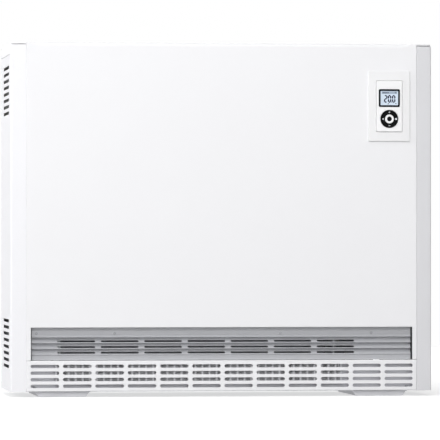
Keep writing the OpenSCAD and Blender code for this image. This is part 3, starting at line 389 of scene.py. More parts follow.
# Liquid crystal: a pale blue that seems lit, with pale and with dark blue segments on it.
lcd_blue = grained("backlit_lcd_pale_blue", "#D7E4F3", 0.35, 0.5, 0.001, tone=0.02, cloud=14,
                   specular=0.3)
lcd_shade = grained("lcd_segment_pale_grey_blue", "#A6B4C6", 0.4, 0.5, 0.001, cloud=6,
                    specular=0.3)
lcd_ink = grained("lcd_segment_dark_blue", "#0C1638", 0.4, 0.5, 0.001, tone=0.04, cloud=6,
                  specular=0.2)
# Black ABS with a fine grain: it swallows the light, so that its printed signs stand out.
key_black = grained("moulded_abs_black_fine_grain", "#060708", 0.42, 0.3, 0.01, tone=0.08,
                    specular=0.06)
print_grey = grained("pad_printed_ink_light_grey", "#DDDFE3", 0.5, 0.2, 0.002)
# Polypropylene bars and polyamide net: pale greys that stay back behind the white grille.
bar_grey = grained("moulded_polypropylene_pale_grey", "#CFCFD3", 0.5, 0.4, 0.01)
net_grey = grained("woven_polyamide_thread_grey", "#D6D7DA", 0.5, 0.2, 0.01)
# Mouldings inside: cream carriers, dark glass-filled holders and dull black rubber. The same dark
# moulding is painted shade on the outlet grille's end cheeks and on its catches.
inner_cream = grained("moulded_polyamide_cream", "#DAD6C8", 0.5, 0.4, 0.01)
dark_moulding_and_painted_shade = grained("glass_filled_polyamide_dark_and_painted_shade", "#3A3C40", 0.55, 0.3, 0.015, tone=0.08)
rubber = grained("epdm_rubber_black", "#232427", 0.7, 0.6, 0.02, tone=0.1)
# Bare metals: lines from the mill on the fan, bright zinc on screws, matt steel on the
# grille's screws, and a skin-passed sheet whose crystals have been rolled flat.
fan_aluminium = grained("rolled_aluminium_mill_finish", "#B9BBBE", 0.38, 0.4, 0.01,
                        metallic=1.0, stretch=(0.03, 1, 1), tone=0.04)
bright_zinc = grained("zinc_plated_steel_bright", "#CFD0D3", 0.3, 0.4, 0.004, metallic=1.0)
matt_steel = grained("stainless_steel_matt", "#9A9B9F", 0.42, 0.3, 0.003, metallic=1.0)
plain_zinc = grained("galvanised_steel_skin_passed", "#C0C0C5", 0.5, 0.8, 0.01, metallic=0.6)
print("finishes so far:", len(bpy.data.materials))

# %% [markdown]
# Hot-dip galvanised sheet shows its zinc crystals, called spangle: flat patches of about
# 9 mm, each reflecting a little differently. A Voronoi pattern gives every patch a value of
# its own, which moves the tone and the gloss of that patch.

# %% Galvanised sheet
ZINC_SKIN, SPANGLE = 1.5, 9


def galvanised(name, colour):
    """Tone and roughness step from crystal to crystal; the crystals are SPANGLE mm wide."""
    material, tree, shader, place = principled(name, Metallic=1.0)
    wave = add(tree, "TexNoise", {"Vector": place, "Scale": 1000 / (SPANGLE * 0.6),
                                  "Detail": 2.0})
    bent = add(tree, "VectorMath", {0: wave.outputs["Color"], 1: (SPANGLE * MM * 0.5,) * 3},
               operation="MULTIPLY")
    moved = add(tree, "VectorMath", {0: place, 1: bent.outputs[0]}, operation="ADD")
    crystal = add(tree, "TexVoronoi", {"Vector": moved.outputs[0], "Scale": 1000 / SPANGLE})
    value = add(tree, "SeparateColor", {"Color": crystal.outputs["Color"]})
    gloss = add(tree, "MapRange", {"Value": value.outputs[1], "To Min": 0.34, "To Max": 0.52})
    mixed = add(tree, "Mix", {"Factor": value.outputs[0], 6: linear(colour, 0.86),
                              7: linear(colour, 1.12)}, data_type="RGBA")
    skin = add(tree, "TexNoise", {"Vector": place, "Scale": 1000 / ZINC_SKIN, "Detail": 2.0})
    wire(tree, shader, mixed.outputs[2], skin.outputs["Fac"], 0.01, gloss.outputs[0])
    return material


# Hot-dip zinc glitters in patches; the same zinc on the parts inside the casing is painted darker,
# as painted shade for where they sit in shadow.
zinc_sheet = galvanised("hot_dip_galvanised_steel", "#B4B7BA")
duct_zinc_painted_shade = galvanised("galvanised_steel_painted_shade", "#7E8083")
print("zinc finishes:", zinc_sheet.name, "and", duct_zinc_painted_shade.name)

# %% [markdown]
# The mineral parts are rougher. Store bricks are pressed from magnetite and show dark and
# rusty specks. The insulation boards are pressed fibre, pale with a felted surface.

# %% Bricks and boards
def speckled(name, colour, speck_colour, speck, share, roughness, relief):
    """Noise above a threshold paints specks of `speck` mm that cover about `share`."""
    material, tree, shader, place = principled(name, Roughness=roughness)
    grain = add(tree, "TexNoise", {"Vector": place, "Scale": 1000 / speck, "Detail": 5.0,
                                   "Roughness": 0.65}).outputs["Fac"]
    mask = add(tree, "MapRange", {"Value": grain, "From Min": 0.62 - share,
                                  "From Max": 0.72 - share}).outputs[0]
    mixed = add(tree, "Mix", {"Factor": mask, 6: linear(colour), 7: linear(speck_colour)},
                data_type="RGBA")
    wire(tree, shader, mixed.outputs[2], grain, relief)
    return material


# The brick looks like dark fired iron ore, the board like pale felt.
store_brick = speckled("pressed_magnetite_brick", "#4E4038", "#7A5A48", 2.5, 0.1, 0.85, 0.3)
fibre_board = speckled("pressed_insulation_fibre", "#D9D2C2", "#C7BEA9", 4.0, 0.15, 0.9, 0.2)
print("mineral finishes:", store_brick.name, "and", fibre_board.name)

# %% [markdown]
# Some nodes are several materials in one mesh: a board with its soldered parts, or a heating
# element with ceramic bushes and brass pins. Their border is a plane, so the finish changes
# where one coordinate passes a limit.

# %% Finishes with a border
def stepped(name, axis, limits, colours, metals, roughness):
    """Along one axis, zone k + 1 starts where the coordinate passes limits[k] (metres)."""
    material, tree, shader, place = principled(name)
    value = add(tree, "SeparateXYZ", {"Vector": place}).outputs[axis]
    past = [add(tree, "Math", {0: value, 1: limit}, operation="GREATER_THAN").outputs[0]
            for limit in limits]
    colour = linear(colours[0])
    for zone, after in zip(past, colours[1:]):
        colour = add(tree, "Mix", {"Factor": zone, 6: colour, 7: linear(after)},
                     data_type="RGBA").outputs[2]
    for socket, row in (("Metallic", metals), ("Roughness", roughness)):
        level = row[0]
        if len(set(row)) == 1:
            shader.inputs[socket].default_value = level
            continue
        for zone, after in zip(past, row[1:]):
            level = add(tree, "MapRange", {"Value": zone, "To Min": level,
                                           "To Max": after}).outputs[0]
        tree.links.new(level, shader.inputs[socket])
    fine = add(tree, "TexNoise", {"Vector": place, "Scale": 1000 / 0.8, "Detail": 3.0})
    wire(tree, shader, colour, fine.outputs["Fac"], 0.02)
    return material


partition_x = corners("partition_wall")[0][0]
element_x = corners("heating_element_low")[1][0]
# Elements: brown-grey tube, cream ceramic bush, yellow brass pin. Boards: green lacquer under
# dark parts, and the controller's board stands on pale spacers.
element_finish = stepped(
    "nickel_steel_tube_with_ceramic_and_brass", 0,
    [(partition_x - 1.2) * MM, (element_x - 8.05) * MM],
    ["#6E6A66", "#E9E4D8", "#C9A24A"], [1.0, 0.0, 1.0], [0.45, 0.35, 0.3])
controller_x = corners("charge_controller")[0][0]
controller_finish = stepped(
    "printed_circuit_board_with_parts", 0,
    [(controller_x + 5.9) * MM, (controller_x + 7.65) * MM],
    ["#C4C5C8", "#2E6B45", "#2B2D31"], [0.0, 0.0, 0.0], [0.5, 0.35, 0.45])
board_y = corners("control_board")[0][1]
display_board_finish = stepped(
    "printed_circuit_board_small", 1, [(board_y + 1.65) * MM + FRONT_Y],
    ["#2E6B45", "#2B2D31"], [0.0, 0.0], [0.35, 0.45])
print("borders start at (mm):", partition_x.round(1), element_x.round(1), board_y.round(1))

# %% Every CAD node gets its finish
FINISH_OF_SLOT = {
    "casing_enamel": powder_coat, "grille_silver": silver_lacquer, "zinc_sheet": zinc_sheet,
    "foot_grey": foot_lacquer, "fascia_white": moulded_white, "module_white": polished_white,
    "display_dark": display_black, "display_blue": lcd_blue, "key_black": key_black,
    "filter_grey": bar_grey, "inner_plastic": inner_cream, "dark_plastic": dark_moulding_and_painted_shade,
    "rubber_black": rubber, "board_green": controller_finish, "insulation": fibre_board,
    "store_brick": store_brick, "element_steel": element_finish, "fan_metal": fan_aluminium,
    "screw_zinc": bright_zinc,
}
FINISH_OF_NODE = {
    "control_board": display_board_finish, "inlet_plate": plain_zinc,
    # The catches behind the grille are dark moulding as painted shade, where they show in the gap
    # below it.
    "grille_catches": dark_moulding_and_painted_shade,
    # The duct's zinc parts take the darker zinc, which is painted shade.
    **dict.fromkeys(("grille_rail", "fan_scroll", "fan_tongue", "mixing_floor", "mixing_back",
                     "inner_cover", "cradle_plate"), duct_zinc_painted_shade),
}
for node_name, node in frame["nodes"].items():
    finish = FINISH_OF_NODE.get(node_name, FINISH_OF_SLOT[NODE_SLOT[node_name]])
    for place in node.material_slots:
        place.material = finish
print("dressed", len(frame["nodes"]), "nodes")

# %% [markdown]
# ## Sheet metal: punch it flat, then bend it
# Nearly every outer part of the heater is sheet: it is punched while it is flat and bent
# afterwards. The arrays follow the same order. First a flat grid is laid out, and the quads
# that a punch would knock out are left away. Then the flat sheet is carried along the line
# of its bends. Modelling each hole with a boolean cut would work too, but it leaves long
# thin triangles, and the holes' rims couldn't be shaped. A hair's length of 0.02 mm keeps two
# points of a line from falling on one another.

# %% A line with rounded bends
LOOK_AHEAD, HAIR = 0.05, 0.02


def bend(path, radii, steps=6):
    """Rounds the inner corners of a path. With its points as complex numbers, the turn at a
    corner is the angle of after / before. The arc starts r * tan(turn / 2) before the corner,
    and its centre is r to the inner side of the start."""
    z = np.array(path, float) @ [1, 1j]
    unit = np.diff(z) / np.abs(np.diff(z))
    before, after = unit[:-1], unit[1:]
    turn = np.angle(after / before)
    r = np.broadcast_to(np.asarray(radii, float), turn.shape)
    start = z[1:-1] - before * r * np.tan(np.abs(turn) / 2)
    centre = start + 1j * np.sign(turn) * before * r
    sweep = np.linspace(0, 1, steps + 1)
    arcs = centre[:, None] + (start - centre)[:, None] * np.exp(1j * turn[:, None] * sweep)
    line = np.concatenate([z[:1], arcs.ravel(), z[-1:]])
    return columns(line.real, line.imag)


def measure(line):
    """Arc length at each point: the running sum of the distances between points."""
    return np.concatenate([[0], np.cumsum(np.hypot(*np.diff(line, axis=0).T))])


def carried(line, s, sink=0.0):
    """The points at arc length s on a line, moved `sink` along its left-hand normal. The
    line's direction is the difference between the points one step ahead and behind."""
    at = measure(line)
    here, ahead, behind = (columns(*(np.interp(s + move, at, axis) for axis in line.T))
                           for move in (0, LOOK_AHEAD, -LOOK_AHEAD))
    along = (ahead - behind) / np.linalg.norm(ahead - behind, axis=-1, keepdims=True)
    return here + columns(-along[:, 1], along[:, 0]) * np.atleast_1d(sink)[:, None]


def lines(*groups):
    """All the grid lines of several groups in order, each one once."""
    return np.unique(np.round(np.concatenate([np.atleast_1d(g) for g in groups]), 4))


print("quarter bend of 3 mm:", bend([(0, 0), (10, 0), (10, 10)], 3, 3).round(2).tolist())

# %% [markdown]
# A punched slot is a ring of its own. Its outline is walked once round, and the rectangle of
# sheet that belongs to it is walked with the same number of steps, so the rings between the
# two are plain blends. The rectangle's points fall on the grid lines of the sheet, which lets
# the two be welded without a crack. A lip is a ring or two that sink below the sheet.

# %% Slots with round ends
def slot_cells(centres, cell, slot, flats, rounds, lip):
    """Rings (a, b, sink) from each slot's outline out to its cell's rectangle. The outline is a
    straight edge and a half circle of radius r, then both again turned by 180 degrees."""
    r, straight = slot[1] / 2, slot[0] / 2 - slot[1] / 2
    along, down = flats[:-1], np.linspace(1, -1, rounds + 1)[:-1]
    turn = np.radians(90) * down

    def ring(level, end, depth):
        """Half a loop, then its points with both signs changed, all at one depth."""
        half = np.concatenate([level, end])
        return columns(*np.concatenate([half, -half]).T, depth)

    rings = [ring(columns(along * straight, r + grown),
                  columns(straight + (r + grown) * np.cos(turn), (r + grown) * np.sin(turn)), sink)
             for grown, sink in lip]
    rings += [ring(columns(along * cell[0] / 2, cell[1] / 2),
                   columns(cell[0] / 2, down * cell[1] / 2), 0)]
    moves = np.insert(np.array(centres, float), 2, 0, axis=1)
    points = np.stack(rings)[None] + moves[:, None, None]
    rows, cols = points.shape[1:3]
    first = np.arange(len(centres)) * rows * cols
    quads = grid_quads(rows, cols, closed=True)[None] + first[:, None, None]
    return points.reshape(-1, 3), quads.reshape(-1, 4).tolist()


def flat_sheet(a, b, openings=()):
    """Points (a, b, 0) and quads of a flat grid; an opening (a0, a1, b0, b1) loses its quads."""
    flat = columns(a[:, None], b, 0.0).reshape(-1, 3)
    quads = grid_quads(len(a), len(b))
    mid = flat[quads].mean(1)
    keep = np.ones(len(quads), bool)
    for a0, a1, b0, b1 in openings:
        keep &= ~((mid[:, 0] > a0) & (mid[:, 0] < a1) & (mid[:, 1] > b0) & (mid[:, 1] < b1))
    return flat, quads[keep].tolist()


def evenly(count, pitch):
    """Evenly spaced places on both sides of 0: (k - (count - 1) / 2) * pitch."""
    return (np.arange(count) - (count - 1) / 2) * pitch


def cell_lines(centres, size, steps):
    """The grid lines that a row of cells needs: centre + step * half the cell."""
    return (centres[:, None] + steps * size / 2).ravel()


FLATS, ROUNDS = np.linspace(-1, 1, 5), 8


def punched(a, b, across, along, cell, slot, flats=FLATS, rounds=ROUNDS, lip=((0, 0),),
            gone=()):
    """A sheet on the grid lines a and b with a slot at every pair of middles (across, along).
    A cell brings its own grid lines: along a at the shares `flats` of its half, along b in
    `rounds` equal parts. A lip is one (grown, sink) per ring; `gone` are further openings."""
    across, along = np.atleast_1d(across), np.atleast_1d(along)
    middles = [(x, z) for x in across for z in along]
    cells = [(x - cell[0] / 2, x + cell[0] / 2, z - cell[1] / 2, z + cell[1] / 2)
             for x, z in middles]
    grid = (lines(a, cell_lines(across, cell[0], flats)),
            lines(b, cell_lines(along, cell[1], np.linspace(-1, 1, rounds + 1))))
    return [flat_sheet(*grid, [*cells, *gone]),
            slot_cells(middles, cell, slot, flats, rounds, lip)]


def rolled(line, shapes):
    """A flat sheet (x, s) carried along a section line: x stays, s becomes depth and z."""
    flat, faces = join(shapes)
    return columns(flat[:, 0], *carried(line, flat[:, 1]).T), faces


test_plate = punched([-40, 40], [-10, 10], 0, 0, (30, 8), (20, 4))
print("a test plate with one slot has", len(join(test_plate)[1]), "faces")

# %% [markdown]
# Panels with a rim on three or four sides are walked round their edge. A station on that walk
# knows which side it belongs to and which way is outwards, so one formula gives its place for
# any inset: the corner's radius shrinks by the inset, and the corner's centre stays put until
# the radius is used up.

# %% Walking round a rectangle
BEND_STEPS, BEND_FADE = 5, 12.0


def walk_round(xs, zs, closed=True):
    """Stations clockwise from the lower left: side in x, side in z, own line, normal."""
    def corner(side_x, side_z, first, last):
        """Normals (cos, sin) from the first angle to the last, in degrees."""
        angle = np.radians(np.linspace(first, last, BEND_STEPS + 1))
        return columns(side_x, side_z, 0, 0, np.cos(angle), np.sin(angle))

    xs, inner = xs[1:-1], zs[1:-1] if closed else zs[:-1]
    walk = [columns(-1, 0, 0, inner, -1, 0), corner(-1, 1, 180, 90),
            columns(0, 1, xs, 0, 0, 1), corner(1, 1, 90, 0),
            columns(1, 0, 0, inner[::-1], 1, 0)]
    if closed:
        walk += [corner(1, -1, 0, -90), columns(0, -1, xs[::-1], 0, 0, -1),
                 corner(-1, -1, -90, -180)]
    return np.concatenate(walk)


def place_walk(walk, low, high, radius, inset=0):
    """centre + normal * (radius - inset), where the centre is max(radius, inset) from a side."""
    kept, gone = np.maximum(radius - inset, 0), np.maximum(radius, inset)
    x = np.choose((walk[:, 0] + 1).astype(int), [low[0] + gone, walk[:, 2], high[0] - gone])
    z = np.choose((walk[:, 1] + 1).astype(int), [low[1] + gone, walk[:, 3], high[1] - gone])
    return columns(x + walk[:, 4] * kept, z + walk[:, 5] * kept)


def quarter(r, steps=4):
    """A rounded edge: inset r * (1 - cos), and how far it is below the top, r * (1 - sin)."""
    return [(r * (1 - math.cos(t)), r * (1 - math.sin(t)))
            for t in np.linspace(0, math.pi / 2, steps + 1)]


def rim(walk, low, high, radius, bend_r, depth, inset):
    """Rings (x, depth, z): the folded edge, a quarter bend of bend_r, and the flat front."""
    return np.stack([standing(place_walk(walk, low, high, radius, t), y)
                     for t, y in [(0, depth), *quarter(bend_r, BEND_STEPS), (inset, 0)]])


def narrowed(wide, tight, distance):
    """A bend radius that is tight at a corner and wide from BEND_FADE mm away: half a cosine."""
    share = np.clip(distance / BEND_FADE, 0, 1)
    return tight + (wide - tight) * (0.5 - 0.5 * np.cos(math.pi * share))


def to_front(shape):
    """A flat shape (a, b, sink) stood up as (x, depth, z)."""
    points, faces = shape
    return points[:, [0, 2, 1]], faces


print("a walk round a grid of 4 x 4 lines has", len(walk_round(np.arange(4), np.arange(4))),
      "stations")

# %% [markdown]
# ## Front panel
# One sheet 722 mm wide, folded back on its left, right and top edges. The side bends are
# tight, the top one is wider and narrows to the side bend in the last millimetres before each
# upper corner. Its legs run down beside the outlet grille, and over the grille the sheet is
# turned in by a few millimetres, which gives the window a clean shadow line.

# %% Fold the front panel
SHEET, PANEL_SHEET, SEAM_FILL = 1.2, 0.8, 0.33
SIDE_BEND, TOP_BEND, PANEL_CORNER = 1.0, 6.0, 1.6
WINDOW_GAP, WINDOW_HEIGHT, HEM_DEPTH = 0.6, 60, 4.5
MODULE_HALF, HOLE_MARGIN = np.array([24, 47]), 4
grille_low, grille_high = corners("outlet_grille")
control_x, _, key_z = centre("ring_key")

window_half = grille_high[0] + WINDOW_GAP
window_top = panel_low[2] + WINDOW_HEIGHT
leg = panel_high[0] + SEAM_FILL - window_half
control_middle = np.array([control_x, centre("control_fascia")[2]])
module_low, module_high = control_middle - MODULE_HALF, control_middle + MODULE_HALF
hole = (module_low[0] - HOLE_MARGIN, module_high[0] + HOLE_MARGIN,
        module_low[1] - HOLE_MARGIN, module_high[1] + HOLE_MARGIN)

fade_xs = window_half - np.linspace(0, BEND_FADE, 5)
panel_xs = lines(-fade_xs, np.linspace(-fade_xs[-1], hole[0], 5), np.linspace(*hole[:2], 3),
                 fade_xs)
hem = np.array([window_top + SIDE_BEND, *hole[2:], panel_high[2] - leg])
panel_zs = lines([panel_low[2], window_top], hem, np.linspace(hem[0], hem[1], 5))
walk = walk_round(panel_xs, panel_zs, closed=False)
on_top = walk[:, 0] == 0
bend_here = narrowed(TOP_BEND, SIDE_BEND, (window_half - abs(walk[:, 2])) * on_top)
folded = rim(walk, (panel_low[0] - SEAM_FILL, panel_low[2]),
             (panel_high[0] + SEAM_FILL, panel_high[2]),
             PANEL_CORNER, bend_here, panel_high[1], leg)
upper_zs = panel_zs[panel_zs >= hem[0] - HAIR]
face = to_front(flat_sheet(panel_xs, upper_zs, [hole]))
turned_in = bend([(hem[0], 0), (window_top, 0), (window_top, HEM_DEPTH)], SIDE_BEND - HAIR)
hem_sheet = columns(panel_xs[:, None], turned_in[:, 1], turned_in[:, 0])
piece("front_panel_sheet", [surface(folded), face, surface(hem_sheet)], powder_coat,
      instead=["front_panel"], gauge=PANEL_SHEET, edge=0.15, facing=(0, -1, 0))

# %% [markdown]
# ## Side panels
# Each side panel is one long sheet: it starts behind the front panel's edge, falls back a
# few millimetres as a narrow band, turns round the corner, runs to the back and ends in a
# flange. The two blocks of eight slots let room air cool the casing. The punch pulls the rim
# of each slot inwards a little, which shows as a soft shadow round it.

# %% Bend the side panels
COVER_GAP, BAND_TOP, BAND_DEPTH, PANEL_LINES = 0.8, side_high[2], 14, (220, 360, 470)
SEAM_TOP = corners("top_cover")[0][2] - COVER_GAP
VENT_HIGH_Z, VENT_LOW_Z, VENT_PITCH, VENTS = 564.0, 97.0, 12.0, 8
VENT_SIZE, VENT_CELL, VENT_MIDDLE = (140.0, 5.6), (150.0, 12.0), 118.0
VENT_LIP = ((0, 1.0), (0.12, 0.45), (0.45, 0.12), (1.0, 0.0))
SIDE_FLANGE, SIDE_RADII = 15, [0.9, 2.6, 2.6, 1.6]

band_x = side_low[0] - SEAM_FILL
side_line = bend([(band_x, 12), (band_x, 1), (388.2, 7.7), (side_high[0], 10.5),
                  (side_high[0], side_high[1]), (side_high[0] - SIDE_FLANGE, side_high[1])],
                 SIDE_RADII)
at = measure(side_line)
first_on_wall = np.argmax(side_line[:, 0] > side_high[0] - 1e-6)
wall_zero = at[first_on_wall] - side_line[first_on_wall, 1]
band_end = wall_zero + BAND_DEPTH
vent_zs = np.concatenate([block_z + evenly(VENTS, VENT_PITCH)
                          for block_z in (VENT_LOW_Z, VENT_HIGH_Z)])
flat, side_faces = join(punched(
    lines(at, band_end), [side_low[2], *PANEL_LINES, SEAM_TOP, BAND_TOP],
    wall_zero + VENT_MIDDLE, vent_zs, VENT_CELL, VENT_SIZE, np.linspace(-1, 1, 7), lip=VENT_LIP,
    gone=[(band_end, at[-1] + 1, SEAM_TOP, BAND_TOP + 1)]))
plan = carried(side_line, flat[:, 0], flat[:, 2])
# The side panels wear the darker copy of the powder coat, which is painted shade.
for hand, node in ((-1, "side_panel_left"), (1, "side_panel_right")):
    piece(node + "_sheet", [(columns(hand * plan[:, 0], plan[:, 1], flat[:, 1]), side_faces)],
          side_coat_painted_shade, instead=[node], gauge=SHEET, edge=0.25, facing=(hand, 0, 0))

# %% [markdown]
# ## Top cover
# The cover is a shallow lid: flat on top, with wide bends down to its end flanges and a
# narrow flange at the back. It slides under the front panel's fold, so it is open there. Two
# small ears carry its edge forward over the corners of the side panels.

# %% Fold the top cover
cover_low, cover_high = corners("top_cover")
COVER_FRONT, COVER_CORNER, COVER_INSET = panel_high[1] + COVER_GAP, 4.0, 8.0
COVER_BEND, COVER_REAR_BEND, COVER_LINES = 6.0, 1.8, (60, 120, 180)
cover_end = cover_high[1] - COVER_INSET
cover_side = cover_high[0] - COVER_INSET
cover_xs = lines(-cover_side, np.linspace(-300, 300, 5), cover_side)
cover_ys = lines(COVER_FRONT, COVER_LINES, cover_end - np.linspace(0, BEND_FADE, 5))
cover_walk = walk_round(cover_xs, cover_ys, closed=False)
on_side = cover_walk[:, 1] == 0
cover_bend = narrowed(COVER_BEND, COVER_REAR_BEND, (cover_end - cover_walk[:, 3]) * on_side)
lid = rim(cover_walk, (cover_low[0], COVER_FRONT), (cover_high[0], cover_high[1]),
          COVER_CORNER, cover_bend, cover_high[2] - cover_low[2], COVER_INSET)
lid = columns(lid[..., 0], lid[..., 2], cover_high[2] - lid[..., 1])
plate, plate_faces = flat_sheet(cover_xs, cover_ys)


def polygon_inset(outline, t):
    """A closed outline moved inwards: each corner by t * (n1 + n2) / (1 + n1 . n2)."""
    z = np.array(outline, float) @ [1, 1j]
    unit = (np.roll(z, -1) - z) / np.abs(np.roll(z, -1) - z)
    before, after = np.roll(unit, 1) * 1j, unit * 1j
    shift = (before + after) / (1 + (before * after.conjugate()).real)
    area = 0.5 * np.sum((z.conjugate() * np.roll(z, -1)).imag)
    moved = z + shift * t * np.sign(area)
    return columns(moved.real, moved.imag)


def round_polygon(corner_points, radius, steps=5):
    """Every corner of a closed polygon becomes an arc."""
    loop = [corner_points[-1], *corner_points, corner_points[0]]
    return bend(loop, radius, steps)[1:-1]


def plate_rings(outline, profile):
    """Rings of an outline (n, 2): each profile entry (inset, height) is one ring."""
    return np.stack([np.insert(polygon_inset(outline, t), 2, h, axis=1) for t, h in profile])


ear_x, ear_back = side_low[0], COVER_FRONT - 0.1
ear_outline = round_polygon([(ear_x, 2.2), (384.6, 8.1), (388.6, 11.6), (388.6, ear_back),
                             (ear_x, ear_back)], [0.8, 2, 2, 0.5, 0.5])
ear_low, ear_top = BAND_TOP + 1.0, cover_high[2]
ear = plate_rings(ear_outline, [(0.6, ear_low), (0, ear_low + 0.5)]
                  + [(t, ear_top - d) for t, d in quarter(0.7)])
ears = [capped(ear * [hand, 1, 1]) for hand in (-1, 1)]
piece("top_cover_sheet", [surface(lid), (plate + [0, 0, cover_high[2]], plate_faces)], powder_coat,
      instead=["top_cover"], gauge=SHEET, edge=0.25, facing=(0, 0, 1))
piece("top_cover_ears", ears, powder_coat, slot="casing_enamel")

# %% [markdown]
# ## Outlet grille
# Warm air leaves through a silver grille that is rolled from one strip: its section zigzags,
# so every rib has a face that looks up and a face that looks down, and light from above
# turns them into bands. The slots are punched in the upward faces of three ribs. Rolling
# leaves faint lines along the strip, which the finish gets by stretching its grain in x.
# A thin cheek at each end closes the gap to the casing; the cheek is dark, as painted shade for
# the shadowed gap there.

# %% Roll the outlet grille
def rods(starts, ends, half):
    """Square rods from corner boxes: starts and ends are (n, 3), half the half thickness."""
    starts, ends = np.asarray(starts, float), np.asarray(ends, float)
    pick = np.array([[x, y, z] for x in (0, 1) for y in (0, 1) for z in (0, 1)])
    low, high = np.minimum(starts, ends) - half, np.maximum(starts, ends) + half
    points = low[:, None] + (high - low)[:, None] * pick[None]
    faces = np.array([[0, 1, 3, 2], [4, 6, 7, 5], [0, 4, 5, 1], [2, 3, 7, 6], [0, 2, 6, 4],
                      [1, 5, 7, 3]])
    faces = faces[None] + (np.arange(len(starts)) * 8)[:, None, None]
    return points.reshape(-1, 3), faces.reshape(-1, 4).tolist()


GRILLE_GAP, GRILLE_GAUGE, FOLD_R = 1.5, 1.1, 0.6
RIB_CRESTS = np.array([18.0, 28.5, 39.0])
ribs = np.concatenate([[(crest, 6.5), (crest + 0.8, 13.6), (crest + 2.8, 14.6)]
                       for crest in RIB_CRESTS])
fall = np.concatenate([[(0.4, 7.2), (3.9, 9.6), (7, 8.4), (14.2, 9.4)], ribs,
                       [(49.5, 6.5), (51.4, 8.5), (57.6, 8.5), (59.6, 7.3)]])
grille_line = bend(columns(fall[:, 1], window_top - fall[:, 0]), FOLD_R, 3)
along_grille = measure(grille_line)
SLOT_GROUPS, SLOT_PITCH, SLOT_LENGTH, SLOT_START = 7, 80.0, 70.0, -304.0
SLOT_CELL_B, SLOT_WIDTH, SLOT_RISE = 6.8, 5.4, 2.4
valleys = [1 + 4 * (corner - 1) + 3 for corner in (6, 9, 12)]
slot_s = along_grille[valleys] + SLOT_RISE + SLOT_CELL_B / 2
slot_x = SLOT_START + SLOT_LENGTH / 2 + np.arange(SLOT_GROUPS) * SLOT_PITCH
strip = rolled(grille_line, punched(
    [grille_low[0] + GRILLE_GAP, grille_high[0] - GRILLE_GAP], along_grille, slot_x, slot_s,
    (SLOT_PITCH, SLOT_CELL_B), (SLOT_LENGTH, SLOT_WIDTH), np.linspace(-1, 1, 3), 6))
piece("outlet_grille_strip", [strip], silver_lacquer, instead=["outlet_grille"],
      gauge=GRILLE_GAUGE, edge=0.12, facing=(0, -1, 0))
CHEEK_HALF, CHEEK_DEPTH, CHEEK_DROP = 0.45, (3.2, 16.0), (59.2, 0.8)
cheeks = [[(x, depth, window_top - drop) for x in (grille_low[0], grille_high[0])]
          for depth, drop in zip(CHEEK_DEPTH, CHEEK_DROP)]
# The cheeks take the dark moulding: painted shade at the grille's ends.
piece("outlet_grille_cheeks_painted_shade", [rods(*cheeks, CHEEK_HALF)], dark_moulding_and_painted_shade,
      instead=["outlet_grille"], slot="dark_plastic")

# %% [markdown]
# ## Inlet grille
# Room air enters below through a white grille with twelve columns and four rows of long
# slots. It tilts forward for cleaning, on two pins near the floor. Its lower fold has a notch
# at each hinge bracket, because the fold swings past the bracket when the grille opens.

# %% Punch and fold the inlet grille
inlet_low, inlet_high = corners("inlet_grille")
INLET_FILL = SEAM_FILL + 0.2
inlet_low[0], inlet_high[0] = inlet_low[0] - INLET_FILL, inlet_high[0] + INLET_FILL
COLS, ROWS, PITCH_X, PITCH_Z, FIRST_Z = 12, 4, 59.55, 12.1, 20.2
INLET_SLOT, INLET_MARGIN, INLET_CORNER, INLET_BEND = (52.5, 6.2), 3.0, 1.5, 1.5
INLET_LIP = ((0, 0), (0.5, 0))
NOTCH_X, NOTCH_HALF, NOTCH_FROM, NOTCH_HEIGHT = 345.3, 3.5, 1.6, 2
column_x = evenly(COLS, PITCH_X)
row_z = FIRST_Z + np.arange(ROWS) * PITCH_Z
notch = (np.array([NOTCH_X - NOTCH_HALF, NOTCH_X + NOTCH_HALF]) - column_x[-1]) * 2 / PITCH_X
column_steps = np.sort([-1, *-notch, 0, *notch, 1])
inlet_xs = lines([inlet_low[0] + INLET_MARGIN, inlet_high[0] - INLET_MARGIN],
                 cell_lines(column_x, PITCH_X, column_steps))
inlet_zs = lines([inlet_low[2] + INLET_MARGIN, inlet_high[2] - INLET_MARGIN],
                 cell_lines(row_z, PITCH_Z, np.linspace(-1, 1, 9)))
inlet_rim = rim(walk_round(inlet_xs, inlet_zs), inlet_low[[0, 2]], inlet_high[[0, 2]],
                INLET_CORNER, INLET_BEND, inlet_high[1], INLET_MARGIN)
rim_points, rim_faces = surface(inlet_rim, closed=True)
rim_mid = rim_points[np.array(rim_faces)].mean(1)
in_notch = ((abs(abs(rim_mid[:, 0]) - NOTCH_X) < NOTCH_HALF) & (rim_mid[:, 1] > NOTCH_FROM)
            & (rim_mid[:, 2] < inlet_low[2] + NOTCH_HEIGHT))
rim_faces = np.array(rim_faces)[~in_notch].tolist()
inlet_shapes = punched(inlet_xs, inlet_zs, column_x, row_z, (PITCH_X, PITCH_Z), INLET_SLOT,
                       column_steps, lip=INLET_LIP)
piece("inlet_grille_sheet", [(rim_points, rim_faces), *map(to_front, inlet_shapes)],
      powder_coat, body="inlet_grille", instead=["inlet_grille"], gauge=SHEET, edge=0.3,
      facing=(0, -1, 0))

# %% [markdown]
# ## Lint filter
# Behind the three upper rows sits a plastic frame with upright bars and a fine net that
# catches dust. The net's threads are 0.5 mm thick and 1.6 mm apart. Each thread is a square
# rod, because thousands of round ones would cost a lot and look the same.

# %% Frame, bars and net
def framed(outer, inner, outer_r, inner_r, front, rear, edge):
    """A rounded rectangle with a rounded opening: rings up the outside and down the inside."""
    around = [walk_round(np.linspace(low[0], high[0], 6), np.linspace(low[1], high[1], 6))
              for low, high in (outer, inner)]
    rise = [(0.0, rear), *((t, front + d) for t, d in quarter(edge))]
    rings = [standing(place_walk(around[0], *outer, outer_r, t), y) for t, y in rise]
    rings += [standing(place_walk(around[1], inner[0] - t, inner[1] + t, inner_r + t), y)
              for t, y in rise[::-1]]
    return np.stack([*rings, rings[0]])


